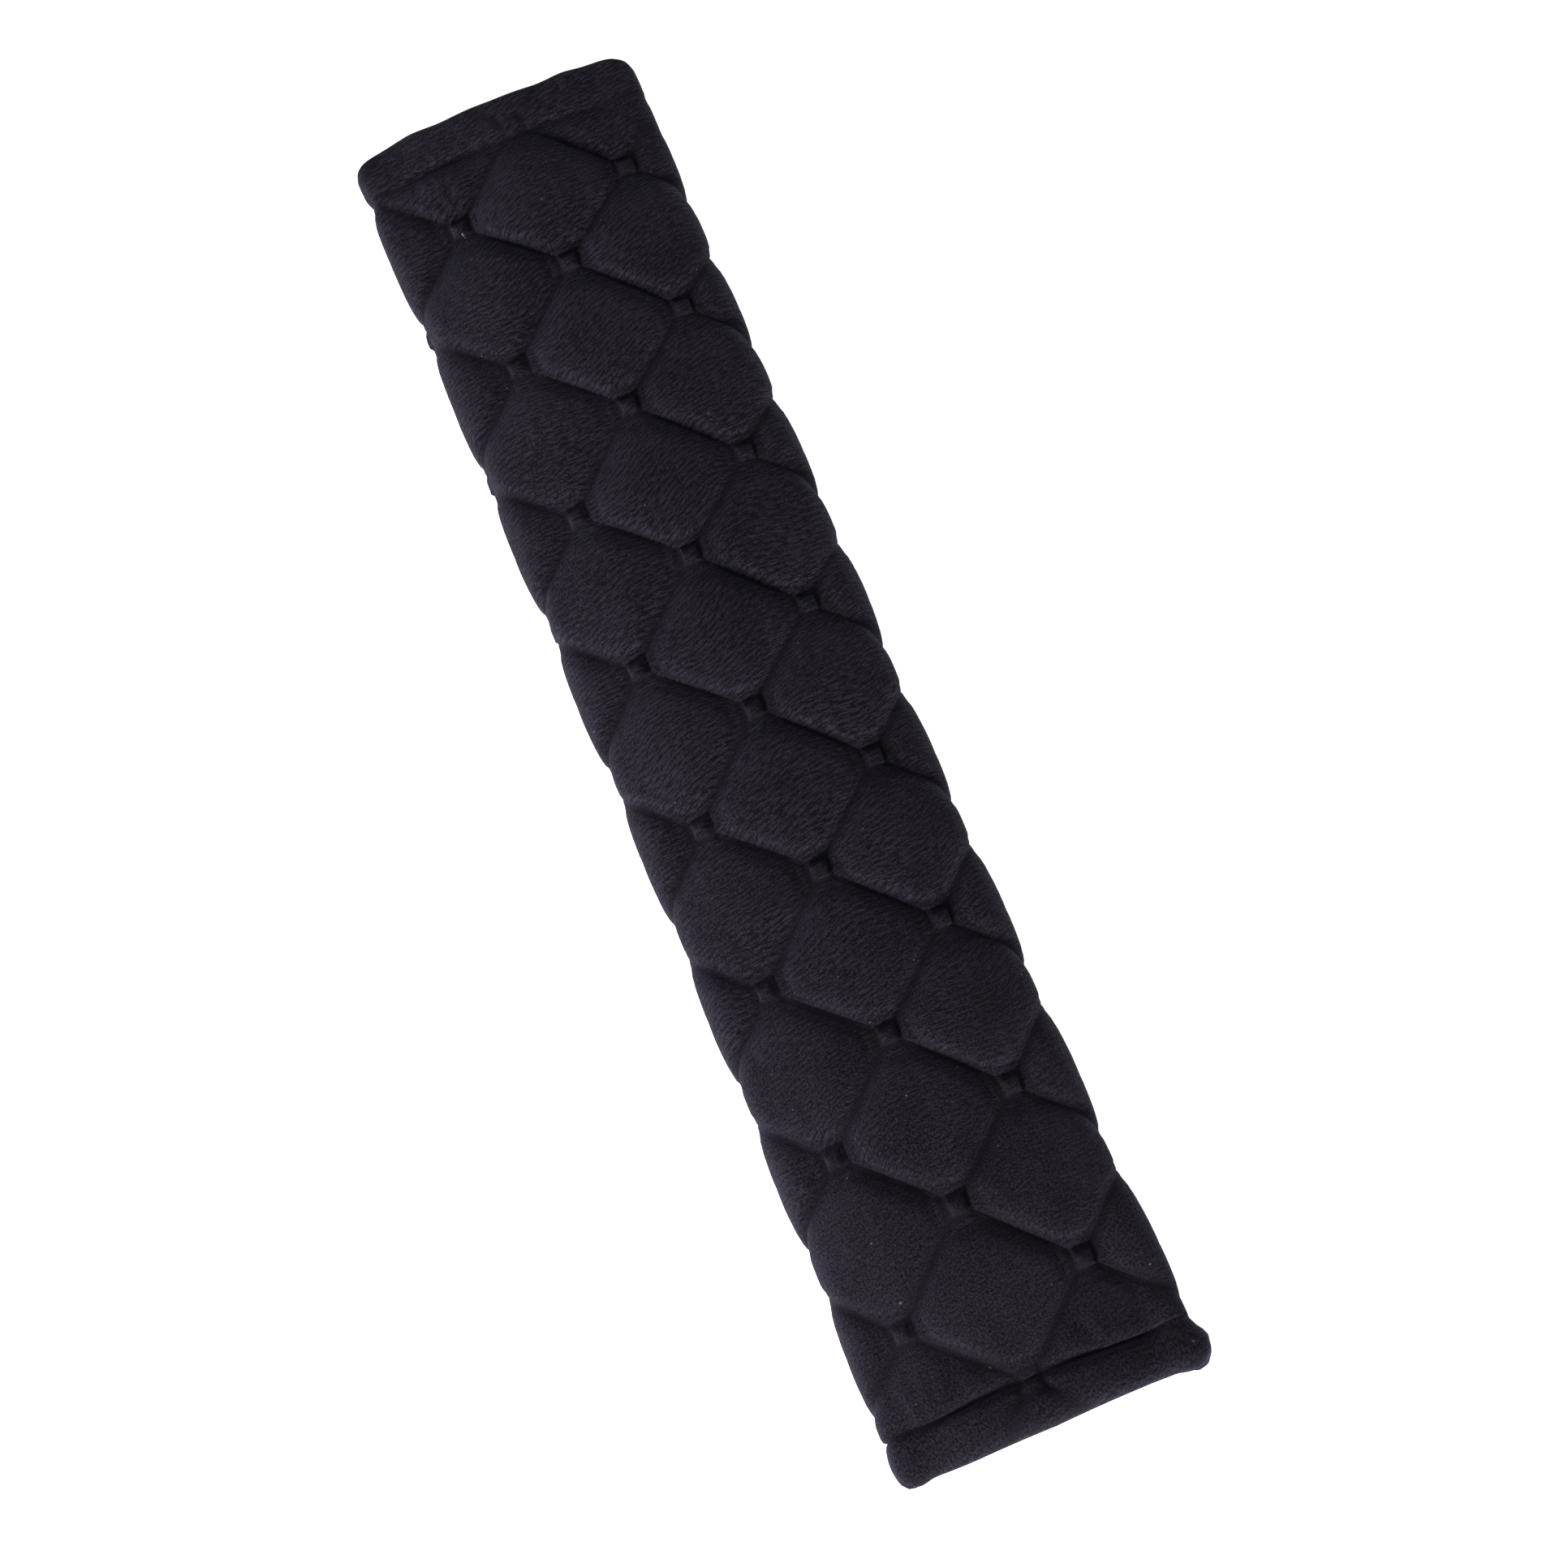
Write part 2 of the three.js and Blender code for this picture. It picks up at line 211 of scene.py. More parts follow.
class Sleeve:
    """The pad's cross-section at seam level, and the way onto it from the flat panel."""

    SAMPLES = 401
    # From the pad's middle: where each end begins to sag shut, and where it is fully shut
    BOTTOM_SAG, TOP_SAG = (mm(105), mm(148)), (mm(110), mm(150))
    # Below the first level nothing sinks, above the second one everything does
    SAG_LEVELS = mm(7.5), mm(12.7)
    BOTTOM_SPREAD, TOP_SPREAD = 0.02, 0.022

    def __init__(self, scene):
        pad, quilt, closure = scene.pad_sizes, scene.quilt_sizes, scene.closure_sizes
        self.pad, self.quilt, self.closure = pad, quilt, closure
        self.depth = pad.cover + pad.wadding + 2 * pad.layer_gap + pad.lining
        tape_stack = 2 * closure.tape_thickness + 3 * pad.layer_gap
        outer_z = quilt.back_puff
        inner_z = outer_z + self.depth + tape_stack
        front_z = inner_z + 2 * self.depth + pad.belt_room
        fold_x = pad.width / 2 - quilt.side_puff - pad.fold_radius
        fold_z = outer_z + pad.fold_radius
        dome = front_z - fold_z
        front_radius = (fold_x**2 + dome**2 - pad.fold_radius**2) / (2 * (dome - pad.fold_radius))
        front_centre = front_z - front_radius
        tangent = math.atan2(fold_z - front_centre, fold_x)
        overlap = closure.tape_width + 2 * closure.tape_margin
        outer_edge = closure.centre + overlap / 2
        inner_edge = closure.centre - overlap / 2
        step_top = outer_edge + closure.step_clearance
        step_foot = step_top + closure.step_run
        middle = (step_top + step_foot) / 2
        share = np.linspace(0, 1, self.SAMPLES)[:, None]

        def line(start, end):
            return mix(np.array(start), np.array(end), share)

        def arc(x, z, radius, start, end):
            turn = mix(start, end, share[:, 0])
            return np.column_stack([x + radius * np.cos(turn), z + radius * np.sin(turn)])

        # The inner wing steps up over the tapes in one smooth curve
        corners = np.array(
            [(step_foot, outer_z), (middle, outer_z), (middle, inner_z), (step_top, inner_z)]
        )
        left = 1 - share
        weights = left**3, 3 * left**2 * share, 3 * left * share**2, share**3
        step = sum(weight * corner for weight, corner in zip(weights, corners))
        quarter = math.pi / 2
        runs = [
            line((outer_edge, outer_z), (-fold_x, outer_z)),
            arc(-fold_x, fold_z, pad.fold_radius, 3 * quarter, math.pi - tangent),
            arc(0, front_centre, front_radius, math.pi - tangent, tangent),
            arc(fold_x, fold_z, pad.fold_radius, tangent, -quarter),
            line((fold_x, outer_z), (step_foot, outer_z)),
            step,
            line((step_top, inner_z), (inner_edge, inner_z)),
        ]
        path = np.vstack([runs[0], *[run[1:] for run in runs[1:]]])
        lengths = np.concatenate([[0], np.cumsum(np.linalg.norm(np.diff(path, axis=0), axis=1))])
        ends = np.cumsum([self.SAMPLES - 1] * len(runs))
        front_start, front_end = lengths[ends[1]], lengths[ends[2]]
        self.station = lengths - (front_start + front_end) / 2
        self.x, self.z = path.T
        along = np.gradient(path, self.station, axis=0)
        along /= np.linalg.norm(along, axis=1)[:, None]
        self.out_x, self.out_z = -along[:, 1], along[:, 0]
        self.outer_edge, self.inner_edge = self.station[0], self.station[-1]
        self.front_half = (front_end - front_start) / 2
        self.fold_foot = self.station[ends[3]]
        self.step_foot, self.step_top = self.station[ends[4]], self.station[ends[5]]
        self.half_width = fold_x + pad.fold_radius
        self.groove = pad.length / 2 - pad.hem_width
        self.flap_edge = pad.length / 2 - pad.hem_turn
        self.fold_middle = (self.front_half + self.fold_foot) / 2
        self.nose = (quilt.hem_puff + self.depth) / 2

    def at(self, station):
        """Point and outward direction of the section at each station."""
        held = np.clip(station, self.outer_edge, self.inner_edge)
        x, z, out_x, out_z = (
            np.interp(held, self.station, run) for run in (self.x, self.z, self.out_x, self.out_z)
        )
        beyond = station - held
        return x + beyond * out_z, z - beyond * out_x, out_x, out_z

    def wrap(self, flat):
        """Panel points (station, y, height above the seam level) to points in space."""
        pad = self.pad
        station, y, height = np.asarray(flat, float).T
        y = y + self.crept(station, y)
        x, z, out_x, out_z = self.at(station)
        # The empty sleeve sags shut and spreads towards its ends, and one top corner curls up
        bottom, top = smooth(-y, *self.BOTTOM_SAG), smooth(y, *self.TOP_SAG)
        sag = (pad.bottom_sag * bottom + pad.top_sag * top) * smooth(z, *self.SAG_LEVELS)
        curl = pad.top_curl * top * smooth(x, mm(5), mm(28))
        spread = 1 + self.BOTTOM_SPREAD * bottom + self.TOP_SPREAD * top
        return np.column_stack([(x + out_x * height) * spread, y, z + out_z * height - sag + curl])

    def crept(self, station, y):
        """How far each part of the panel has crept up the pad, between its two ends."""
        quilt = self.quilt
        folds = smooth(np.abs(station), self.front_half - mm(6), self.front_half + mm(3))
        folds = folds * np.where(station > 0, 1, 0.5) * (1 - smooth(y, mm(120), mm(140)))
        everywhere = quilt.creep * (1 - 0.5 * y / self.groove)
        # The top groove has crept further on its left, the bottom one less all along
        top_groove = smooth(y, mm(128), mm(145)) * (1 + 0.6 * smooth(-station, mm(2), mm(18)))
        grooves = top_groove + 0.6 * smooth(-y, mm(120), mm(140))
        held = 1 - smooth(np.abs(y), mm(146), mm(153))
        return (everywhere + quilt.side_creep * folds + quilt.groove_creep * grooves) * held

    def strayed(self, station, y):
        """How far the sewing strays from its pattern, across and along the panel."""
        free = rise(self.groove - np.abs(y), mm(30))
        across = mm(0.35) * wander(station, y, mm(48), 12)
        return across, mm(0.5) * wander(station, y, mm(60), 11) * free

    def end(self, station, side):
        """Where the pad ends at each station, at the top (side 1) or the bottom (side -1)."""
        pad = self.pad
        x = self.at(station)[0]
        right = x > 0
        top_reach = np.where(right, pad.top_right_reach, pad.top_left_reach)
        top_drop = np.where(right, pad.top_right_drop, pad.top_left_drop)
        bottom_drop = np.where(right, pad.bottom_right_drop, pad.bottom_left_drop)
        reach = np.where(side > 0, top_reach, pad.bottom_reach)
        drop = np.where(side > 0, top_drop, bottom_drop)
        share = np.clip((np.abs(x) - self.half_width + reach) / reach, 0, 1)
        # The closed side is sewn shorter than the front, so the front hem covers it
        away = np.abs(station)
        front = 1 - smooth(away, self.front_half - mm(2), self.front_half + mm(2.5))
        closed = smooth(away, self.fold_middle, self.fold_foot + mm(3))
        grown = pad.top_growth + pad.top_flare * smooth(np.abs(x), mm(10), mm(21))
        top_trim = mix(-grown, mm(1), closed)
        # The bottom end is cut a little shorter towards its right side
        corner_trim = np.where(right, mm(1.1), -mm(0.2))
        front_trim = mm(0.85) + np.where(right, mm(1.5), mm(0.25)) * np.abs(x) / self.half_width
        bottom_trim = mix(corner_trim, front_trim, front) + mm(5) * closed
        trim = np.where(side > 0, top_trim, bottom_trim)
        return pad.length / 2 - drop * (1 - np.sqrt(1 - share**2)) - trim

    def puff_room(self, station):
        """The tallest puff that each part of the section has room for."""
        quilt = self.quilt
        away = np.abs(station)
        side = quilt.side_puff + mm(0.5)
        near = mix(quilt.front_puff, side, smooth(away, self.front_half / 2, self.fold_middle))
        far = mix(side, quilt.back_puff, self.under(away))
        step_middle = (self.step_foot + self.step_top) / 2
        far = far * (1 - smooth(station, self.step_foot, step_middle))
        return np.where(away < self.fold_middle, near, far)

    def at_fold(self, away):
        """1 round the two folds and beyond them, 0 on the flat of the front."""
        return smooth(away, self.front_half * 0.6, self.front_half)

    def under(self, away):
        """1 on the closed side, 0 on the front."""
        return smooth(away, self.fold_middle, self.fold_foot)

    def fanned_pile(self, station, y):
        """How far the pile stands out round the two folds, where it fans open."""
        quilt = self.quilt
        away = np.abs(station)
        near = smooth(away, self.front_half * 0.7, self.front_half + mm(3))
        far = 1 - smooth(away, self.fold_middle + mm(2), self.fold_foot)
        left = quilt.left_pile * (0.5 + 0.5 * smooth(y, mm(40), mm(80)))
        ends = smooth(y, mm(0), mm(25)) + 0.6 * smooth(-y, mm(100), mm(130))
        right = quilt.right_pile * (0.5 + 0.5 * ends)
        return near * far * np.where(station > 0, right, left)

    def drifted(self, column, y):
        """Stations of pattern columns: the rows of the quilting lean a little along the pad."""
        edge = np.minimum(column - self.outer_edge, self.inner_edge - column)
        fade = np.clip(edge / mm(15), 0, 1)
        return column + (self.quilt.offset_across + self.quilt.drift * y / self.pad.length) * fade


class Lattice:
    """The quilting in pattern coordinates: diagonal seams, and a square sewn at each crossing."""

    def __init__(self, quilt):
        self.pitch, self.square = quilt.pitch, quilt.crossing / 2
        self.side = quilt.pitch / math.sqrt(2)

    def beyond_square(self, across, along):
        """How far out of the nearest crossing's square a point lies, negative inside it."""
        half = self.pitch / 2
        column = np.round(across / half)
        row = 2 * np.round((along / half - column) / 2) + column
        return np.maximum(np.abs(across - column * half), np.abs(along - row * half)) - self.square

    def seam_distances(self, across, along):
        """Distance to the nearest seam of each of the two families."""
        ways = (across + along) / math.sqrt(2), (across - along) / math.sqrt(2)
        return [np.abs(way / self.side - np.round(way / self.side)) * self.side for way in ways]

    def cell_number(self, across, along):
        """A number that is the same all over one cell and differs from cell to cell."""
        rising = np.floor((across + along) / math.sqrt(2) / self.side)
        falling = np.floor((across - along) / math.sqrt(2) / self.side)
        return rising * 7 + falling * 13

    def lines(self, low, high, origin):
        """Grid lines from low to high, through each crossing and along its square's sides."""
        half = self.pitch / 2
        steps = np.concatenate(
            [
                np.linspace(0, self.square, 4)[:-1],
                np.linspace(self.square, half - self.square, 17)[:-1],
                np.linspace(half - self.square, half, 4)[:-1],
            ]
        )
        first = math.floor((low - origin) / half)
        last = math.ceil((high - origin) / half)
        lines = np.concatenate([origin + k * half + steps for k in range(first, last + 1)])
        margin = mm(0.4)
        inner = lines[(lines > low + margin) & (lines < high - margin)]
        return np.concatenate([[low], inner, [high]])


def even(lines):
    """The same grid lines, with an even number of steps."""
    return lines if len(lines) % 2 else np.delete(lines, 1)


def coordinates(mesh):
    flat = np.zeros(len(mesh.vertices) * 3, np.float32)
    mesh.vertices.foreach_get("co", flat)
    return flat.reshape(-1, 3).astype(float)


def set_coordinates(mesh, points):
    mesh.vertices.foreach_set("co", np.asarray(points, np.float32).ravel())
    mesh.update()


def grid_bmesh(columns, rows):
    """A flat grid with its corners on the given lines."""
    bm = bmesh.new()
    across, along = len(columns) - 1, len(rows) - 1
    bmesh.ops.create_grid(bm, x_segments=across, y_segments=along, size=0.5)
    for vert in bm.verts:
        vert.co.x = columns[round((vert.co.x + 0.5) * across)]
        vert.co.y = rows[round((vert.co.y + 0.5) * along)]
    return bm


def split_along_seams(bm, lattice, origin):
    """Cuts each square of the panel's grid along the nearer family of seams, so they run clean."""
    faces = bm.faces[:]
    centres = np.array([face.calc_center_median() for face in faces])
    rising, falling = lattice.seam_distances(centres[:, 0], centres[:, 1] - origin)
    for face, to_right in zip(faces, falling < rising):
        low_left, high_left, low_right, high_right = sorted(
            face.verts, key=lambda vert: (vert.co.x, vert.co.y)
        )
        pair = (low_left, high_right) if to_right else (high_left, low_right)
        bmesh.utils.face_split(face, *pair)


def new_piece(name, bm):
    """A finished bmesh as an object at the origin, smooth all over."""
    mesh = bpy.data.meshes.new(name)
    bm.to_mesh(mesh)
    bm.free()
    mesh.shade_smooth()
    piece = bpy.data.objects.new(name, mesh)
    bpy.context.scene.collection.objects.link(piece)
    return piece


def puff_by_cloth(columns, rows, pinned, quilt):
    """Swells a flat sheet that is held along its seams, and gives how far each point moved.

    Blender's cloth works best at ten times this size, so the sheet is swollen there.
    """
    scale = 10
    bm = grid_bmesh(columns * scale, rows * scale)
    sheet = new_piece("swelling_sheet", bm)
    start = coordinates(sheet.data)
    group = sheet.vertex_groups.new(name="seams")
    group.add([int(i) for i in np.nonzero(pinned)[0]], 1.0, "REPLACE")
    cloth = sheet.modifiers.new("Cloth", "CLOTH")
    settings = cloth.settings
    settings.vertex_group_mass = "seams"
    settings.use_pressure = True
    settings.uniform_pressure_force = quilt.pressure
    settings.shrink_min = -0.06
    settings.mass = 0.05
    settings.quality = 5
    settings.effector_weights.gravity = 0
    cloth.collision_settings.use_collision = False
    for number in range(1, quilt.frames + 1):
        bpy.context.scene.frame_set(number)
    swollen = sheet.evaluated_get(bpy.context.evaluated_depsgraph_get())
    moved = (coordinates(swollen.data) - start) / scale
    bpy.context.scene.frame_set(1)
    bpy.data.objects.remove(sheet)
    return moved


def wander(first, second, size, seed):
    """Smooth waves between -1 and 1 about one size long, different for each seed."""
    rng = np.random.default_rng(seed)
    total = np.zeros_like(first)
    for _ in range(4):
        angle, phase = rng.uniform(0, 2 * math.pi, 2)
        wave = 2 * math.pi / (size * rng.uniform(0.7, 1.4))
        total += np.sin(wave * (first * math.cos(angle) + second * math.sin(angle)) + phase)
    return total / 4


def fullness(sleeve, column, station, y, moved):
    """How far the quilted plush stands up, 0 on a seam and 1 on a crown, and how near a seam is."""
    quilt, lattice = sleeve.quilt, Lattice(sleeve.quilt)
    along = y - quilt.offset_along
    beyond = lattice.beyond_square(column, along)
    rising, falling = lattice.seam_distances(column, along)
    if moved is None:
        swell = rise(rising, mm(6.5)) * rise(falling, mm(6.5)) * rise(beyond, mm(4))
    else:
        swell = 1 - np.exp(-np.maximum(moved[:, 2], 0) / mm(1.25))
    # The wadding evens the cloth's swell out into a rounder pillow
    crown = np.sin(math.pi * rising / lattice.side) * np.sin(math.pi * falling / lattice.side)
    pillow = np.sqrt(np.maximum(crown, 0)) * rise(beyond, mm(2.4))
    # Inside a stitched square the plush stands up too, two thirds as far
    inside = np.clip(-beyond / lattice.square, 0, 1)
    full = np.where(beyond < 0, 0.65 * rise(inside, 0.9), 0.4 * swell + 0.6 * pillow)
    # No two cells are filled quite alike, nor is one cell quite even
    cell = lattice.cell_number(column, along)
    full = full * (1 + 0.07 * np.sin(cell * 2.4)) + 0.03 * wander(station, y, mm(14), 3) * full
    return full, np.where(beyond > 0, np.minimum(rising, falling), np.abs(beyond))


def hem_heights(sleeve, station, y, room, full, seam):
    """Height of the plush above the seam level on the two hems."""
    side, away = np.sign(y), np.abs(station)
    hem_length = sleeve.end(station, side) - sleeve.groove - sleeve.nose
    share = np.clip((np.abs(y) - sleeve.groove) / hem_length, 0, 1)
    at_fold, under = sleeve.at_fold(away), sleeve.under(away)
    fold_share = np.where(station > 0, 0.92, 0.5)
    plain = room / sleeve.quilt.front_puff
    lower = mix(mix(1.05, fold_share, at_fold), plain, under)
    upper = mix(mix(0.9, 0.4, at_fold), plain, under)
    # The bottom hem rises slowly from its groove, and its right corner flares out to the very end
    profile = rise(share, np.where(side < 0, 0.95, 0.6))
    flare = 0.15 * rise(share, 0.2) + 0.9 * share
    profile = mix(profile, flare, at_fold * (side < 0) * (station > 0))
    # The quilting under a turned-in hem shows as a crease that fades towards the end
    crease = 0.6 * (1 - full) * np.exp(-seam / mm(1.5)) * (1 - smooth(share, 0.4, 0.8))
    height = sleeve.quilt.hem_puff * np.where(side < 0, lower, upper) * profile * (1 - crease)
    return height + mm(0.12) * wander(station, y * 0.4, mm(12), 5) * share


def closed_groove(sleeve, station, y):
    """Height of the pile that closes over the top groove's right and the bottom groove's ends."""
    side, away = np.sign(y), np.abs(station)
    groove = sleeve.groove - np.abs(y)
    top_right = (side > 0) * smooth(station, mm(6), mm(22))
    bottom_ends = smooth(away, sleeve.front_half - mm(4), sleeve.front_half + mm(2))
    bottom_ends = bottom_ends * (side < 0) * np.where(station > 0, 0.6, 1)
    reach = np.where(side > 0, mm(6) + mm(10) * sleeve.at_fold(away), mm(8))
    beside = (1 - smooth(groove, reach * 0.5, reach)) * (1 - smooth(-groove, mm(2), mm(5)))
    dip = np.where((side < 0) & (station < 0), mm(1), mm(0.25)) * np.exp(-((groove / mm(0.9)) ** 2))
    return (mm(0.95) - dip) * (top_right + bottom_ends) * beside * (1 - sleeve.under(away))


def quilted_heights(sleeve, column, station, y, moved):
    """Height of the plush above the seam level all over the panel, its two hems included."""
    full, seam = fullness(sleeve, column, station, y, moved)
    room, side, away = sleeve.puff_room(station), np.sign(y), np.abs(station)
    groove = sleeve.groove - np.abs(y)
    valley = mm(0.25) * np.exp(-((seam / mm(0.9)) ** 2))
    panel = room * full * rise(groove, mm(4))
    panel = panel - valley * np.clip(room / sleeve.quilt.front_puff * 2, 0, 1)
    height = np.where(groove > 0, panel, hem_heights(sleeve, station, y, room, full, seam))
    # The groove of each hem is pinched in, less round the folds and least on the closed side
    fold_depth = np.where(side < 0, 0.6, 0.25)
    depth = np.where(side < 0, mm(0.9), mm(0.7))
    depth = depth * mix(mix(1, fold_depth, sleeve.at_fold(away)), 0.4, sleeve.under(away))
    hidden = 1 - smooth(station, sleeve.step_foot, sleeve.step_top)
    pinch = np.exp(-((groove / mm(1.2)) ** 2)) * depth * hidden
    edge = np.minimum(station - sleeve.outer_edge, sleeve.inner_edge - station)
    height = (height - pinch) * rise(edge - mm(0.7), mm(5))
    height = np.maximum(height, closed_groove(sleeve, station, y))
    # The wadding under a seam stops the thread from pulling it down any further
    return np.maximum(height, -mm(0.55)) + sleeve.fanned_pile(station, y)


def add_node(tree, kind, inputs=None, **settings):
    """Adds a node with its settings; an input takes a value, a socket or a node's first output."""
    node = tree.nodes.new(kind)
    for name, value in settings.items():
        setattr(node, name, value)
    for key, value in (inputs or {}).items():
        if isinstance(value, bpy.types.Node):
            value = value.outputs[0]
        if isinstance(value, bpy.types.NodeSocket):
            tree.links.new(value, node.inputs[key])
        else:
            node.inputs[key].default_value = value
    return node


def new_material(name, **values):
    """An empty material with its surface shader and the shader's even values."""
    material = bpy.data.materials.new(name)
    material.use_nodes = True
    tree = material.node_tree
    tree.nodes.clear()
    shader = add_node(tree, "ShaderNodeBsdfPrincipled")
    for key, value in values.items():
        shader.inputs[key.replace("_", " ")].default_value = value
    add_node(tree, "ShaderNodeOutputMaterial", {"Surface": shader})
    return material, tree, shader


def opaque(colour, strength=1):
    return (*(min(1, c * strength) for c in colour), 1)


def panel_millimetres(tree):
    """The panel's own coordinates in millimetres."""
    uv = add_node(tree, "ShaderNodeUVMap", uv_map=PANEL_UV)
    return add_node(tree, "ShaderNodeVectorMath", {0: uv, "Scale": 1000}, operation="SCALE")


def finish_shader(tree, shader, colour, height, strength, depth):
    """Feeds a colour into the shader, and a height as a relief some millimetres deep."""
    tree.links.new(colour, shader.inputs["Base Color"])
    inputs = {"Strength": strength, "Distance": mm(depth), "Height": height}
    bump = add_node(tree, "ShaderNodeBump", inputs)
    tree.links.new(bump.outputs["Normal"], shader.inputs["Normal"])


def seam_distance(tree, position, quilt):
    """Millimetres from a point of the panel to the nearest line that is sewn down."""
    side = quilt.pitch * 1000 / math.sqrt(2)
    square = quilt.crossing * 1000 / 2
    turn = {"Vector": position, "Rotation": (0, 0, math.radians(45))}
    split = add_node(tree, "ShaderNodeSeparateXYZ", {0: add_node(tree, "ShaderNodeMapping", turn)})
    rising, falling = (
        add_node(tree, "ShaderNodeMath", {0: way, 1: side / 2}, operation="PINGPONG")
        for way in (split.outputs["X"], split.outputs["Y"])
    )
    seam = add_node(tree, "ShaderNodeMath", {0: rising, 1: falling}, operation="MINIMUM")
    corner = add_node(tree, "ShaderNodeMath", {0: rising, 1: falling}, operation="ADD")
    past_square = {0: corner, 1: math.sqrt(0.5), 2: -square}
    beyond = add_node(tree, "ShaderNodeMath", past_square, operation="MULTIPLY_ADD")
    inside = add_node(tree, "ShaderNodeMath", {0: beyond, 1: 0}, operation="LESS_THAN")
    # No seam runs through a square, so inside one the seams count as far away
    far_off = {0: inside, 1: 99, 2: seam}
    outside_seam = add_node(tree, "ShaderNodeMath", far_off, operation="MULTIPLY_ADD")
    outline = add_node(tree, "ShaderNodeMath", {0: beyond}, operation="ABSOLUTE")
    return add_node(tree, "ShaderNodeMath", {0: outside_seam, 1: outline}, operation="MINIMUM")


def pile_relief(tree, position, across, along):
    """The plush's ribs and tufts, and the patches where it leans another way."""
    # The hand that brushed it: patches 15 mm wide, in which the comb wandered over 40 mm. The
    # tufts of fibre are half a millimetre wide, the finest that the picture can show
    strays, tufts, patches = (
        add_node(
            tree,
            "ShaderNodeTexNoise",
            {"Vector": position, "Scale": scale, "Detail": detail, "Roughness": roughness},
            noise_dimensions="2D",
        )
        for scale, detail, roughness in ((0.028, 1, 0.5), (2.1, 3, 0.65), (0.065, 2, 0.5))
    )
    # The pile was combed 12 degrees off the pad's width
    slant = {0: across, 1: -0.22, 2: along}
    turned = add_node(tree, "ShaderNodeMath", slant, operation="MULTIPLY_ADD")
    stray = {0: strays, 1: 13, 2: turned}
    strayed = add_node(tree, "ShaderNodeMath", stray, operation="MULTIPLY_ADD")
    combing = add_node(tree, "ShaderNodeCombineXYZ", {"X": across, "Y": strayed})
    # Ridges 0.6 mm apart and about 4 mm long
    stretched = add_node(tree, "ShaderNodeMapping", {"Vector": combing, "Scale": (0.52, 3.4, 1)})
    ridges = add_node(
        tree,
        "ShaderNodeTexNoise",
        {"Vector": stretched, "Scale": 1, "Detail": 1, "Roughness": 0.4},
        noise_dimensions="2D",
    )
    # The courses of the knit below, 1.2 mm apart, show through the pile
    courses = add_node(
        tree,
        "ShaderNodeTexWave",
        {
            "Vector": combing,
            "Scale": 0.262,
            "Distortion": 3.5,
            "Detail": 1,
            "Detail Scale": 2,
        },
        wave_type="BANDS",
        bands_direction="Y",
        wave_profile="SIN",
    )
    both = {0: courses.outputs["Fac"], 1: 0.22, 2: ridges}
    combined = add_node(tree, "ShaderNodeMath", both, operation="MULTIPLY_ADD")
    ridge = add_node(tree, "ShaderNodeMath", {0: combined, 1: 0.61}, operation="SUBTRACT")
    # The comb's ridges fade towards the bottom end, and where the pile leans another way
    kept = add_node(
        tree,
        "ShaderNodeMapRange",
        {"Value": along, "From Min": -140, "From Max": 0, "To Min": 0.25},
        interpolation_type="SMOOTHSTEP",
    )
    lean = {0: patches, 1: 1.25, 2: 0.42}
    leaning = add_node(tree, "ShaderNodeMath", lean, operation="MULTIPLY_ADD")
    combed = add_node(tree, "ShaderNodeMath", {0: kept, 1: leaning}, operation="MULTIPLY")
    ridge_height = add_node(tree, "ShaderNodeMath", {0: ridge, 1: combed}, operation="MULTIPLY")
    tuft = add_node(tree, "ShaderNodeMath", {0: tufts, 1: 0.5}, operation="SUBTRACT")
    stand = {0: tuft, 1: 1.05, 2: ridge_height}
    return patches, add_node(tree, "ShaderNodeMath", stand, operation="MULTIPLY_ADD")


def pressed_and_shaded_seams(tree, position, along, scene):
    """How far the pile is crushed, with painted shade, along the quilting alone, and the hems'
    grooves too.
    """
    quilt, pad = scene.quilt_sizes, scene.pad_sizes
    on_panel = {0: along, 1: quilt.offset_along * 1000}
    shifted = add_node(tree, "ShaderNodeMath", on_panel, operation="ADD")
    from_middle = add_node(tree, "ShaderNodeMath", {0: shifted}, operation="ABSOLUTE")
    hem_line = (pad.length / 2 - pad.hem_width) * 1000
    past = add_node(tree, "ShaderNodeMath", {0: from_middle, 1: hem_line}, operation="SUBTRACT")
    from_groove = add_node(tree, "ShaderNodeMath", {0: past}, operation="ABSOLUTE")
    # Crowns lean over each seam's lower side, so pressed pile and painted shadow reach 0.6 mm
    # further
    below = add_node(tree, "ShaderNodeVectorMath", {0: position, 1: (0, 0.6, 0)}, operation="ADD")
    # Painted shade over pressed pile: along the quilting's seams, and along the hems' grooves
    pressed, groove = (
        add_node(
            tree,
            "ShaderNodeMapRange",
            {"Value": distance, "From Max": reach, "To Min": depth, "To Max": 0},
            interpolation_type="SMOOTHSTEP",
        )
        for distance, reach, depth in (
            (seam_distance(tree, below, quilt), 2, 0.45),
            (from_groove, 1.4, 0.55),
        )
    )
    # The seams show less where the hems are turned in over them
    fading = {"Value": from_middle, "From Min": 143.5, "From Max": 147, "To Min": 1, "To Max": 0.75}
    hemmed = add_node(tree, "ShaderNodeMapRange", fading)
    quilted = add_node(tree, "ShaderNodeMath", {0: pressed, 1: hemmed}, operation="MULTIPLY")
    # seams: the painted seam and groove shade, also used in the material to press the pile's relief
    # down
    seams = add_node(tree, "ShaderNodeMath", {0: quilted, 1: groove}, operation="MAXIMUM")
    return pressed, seams


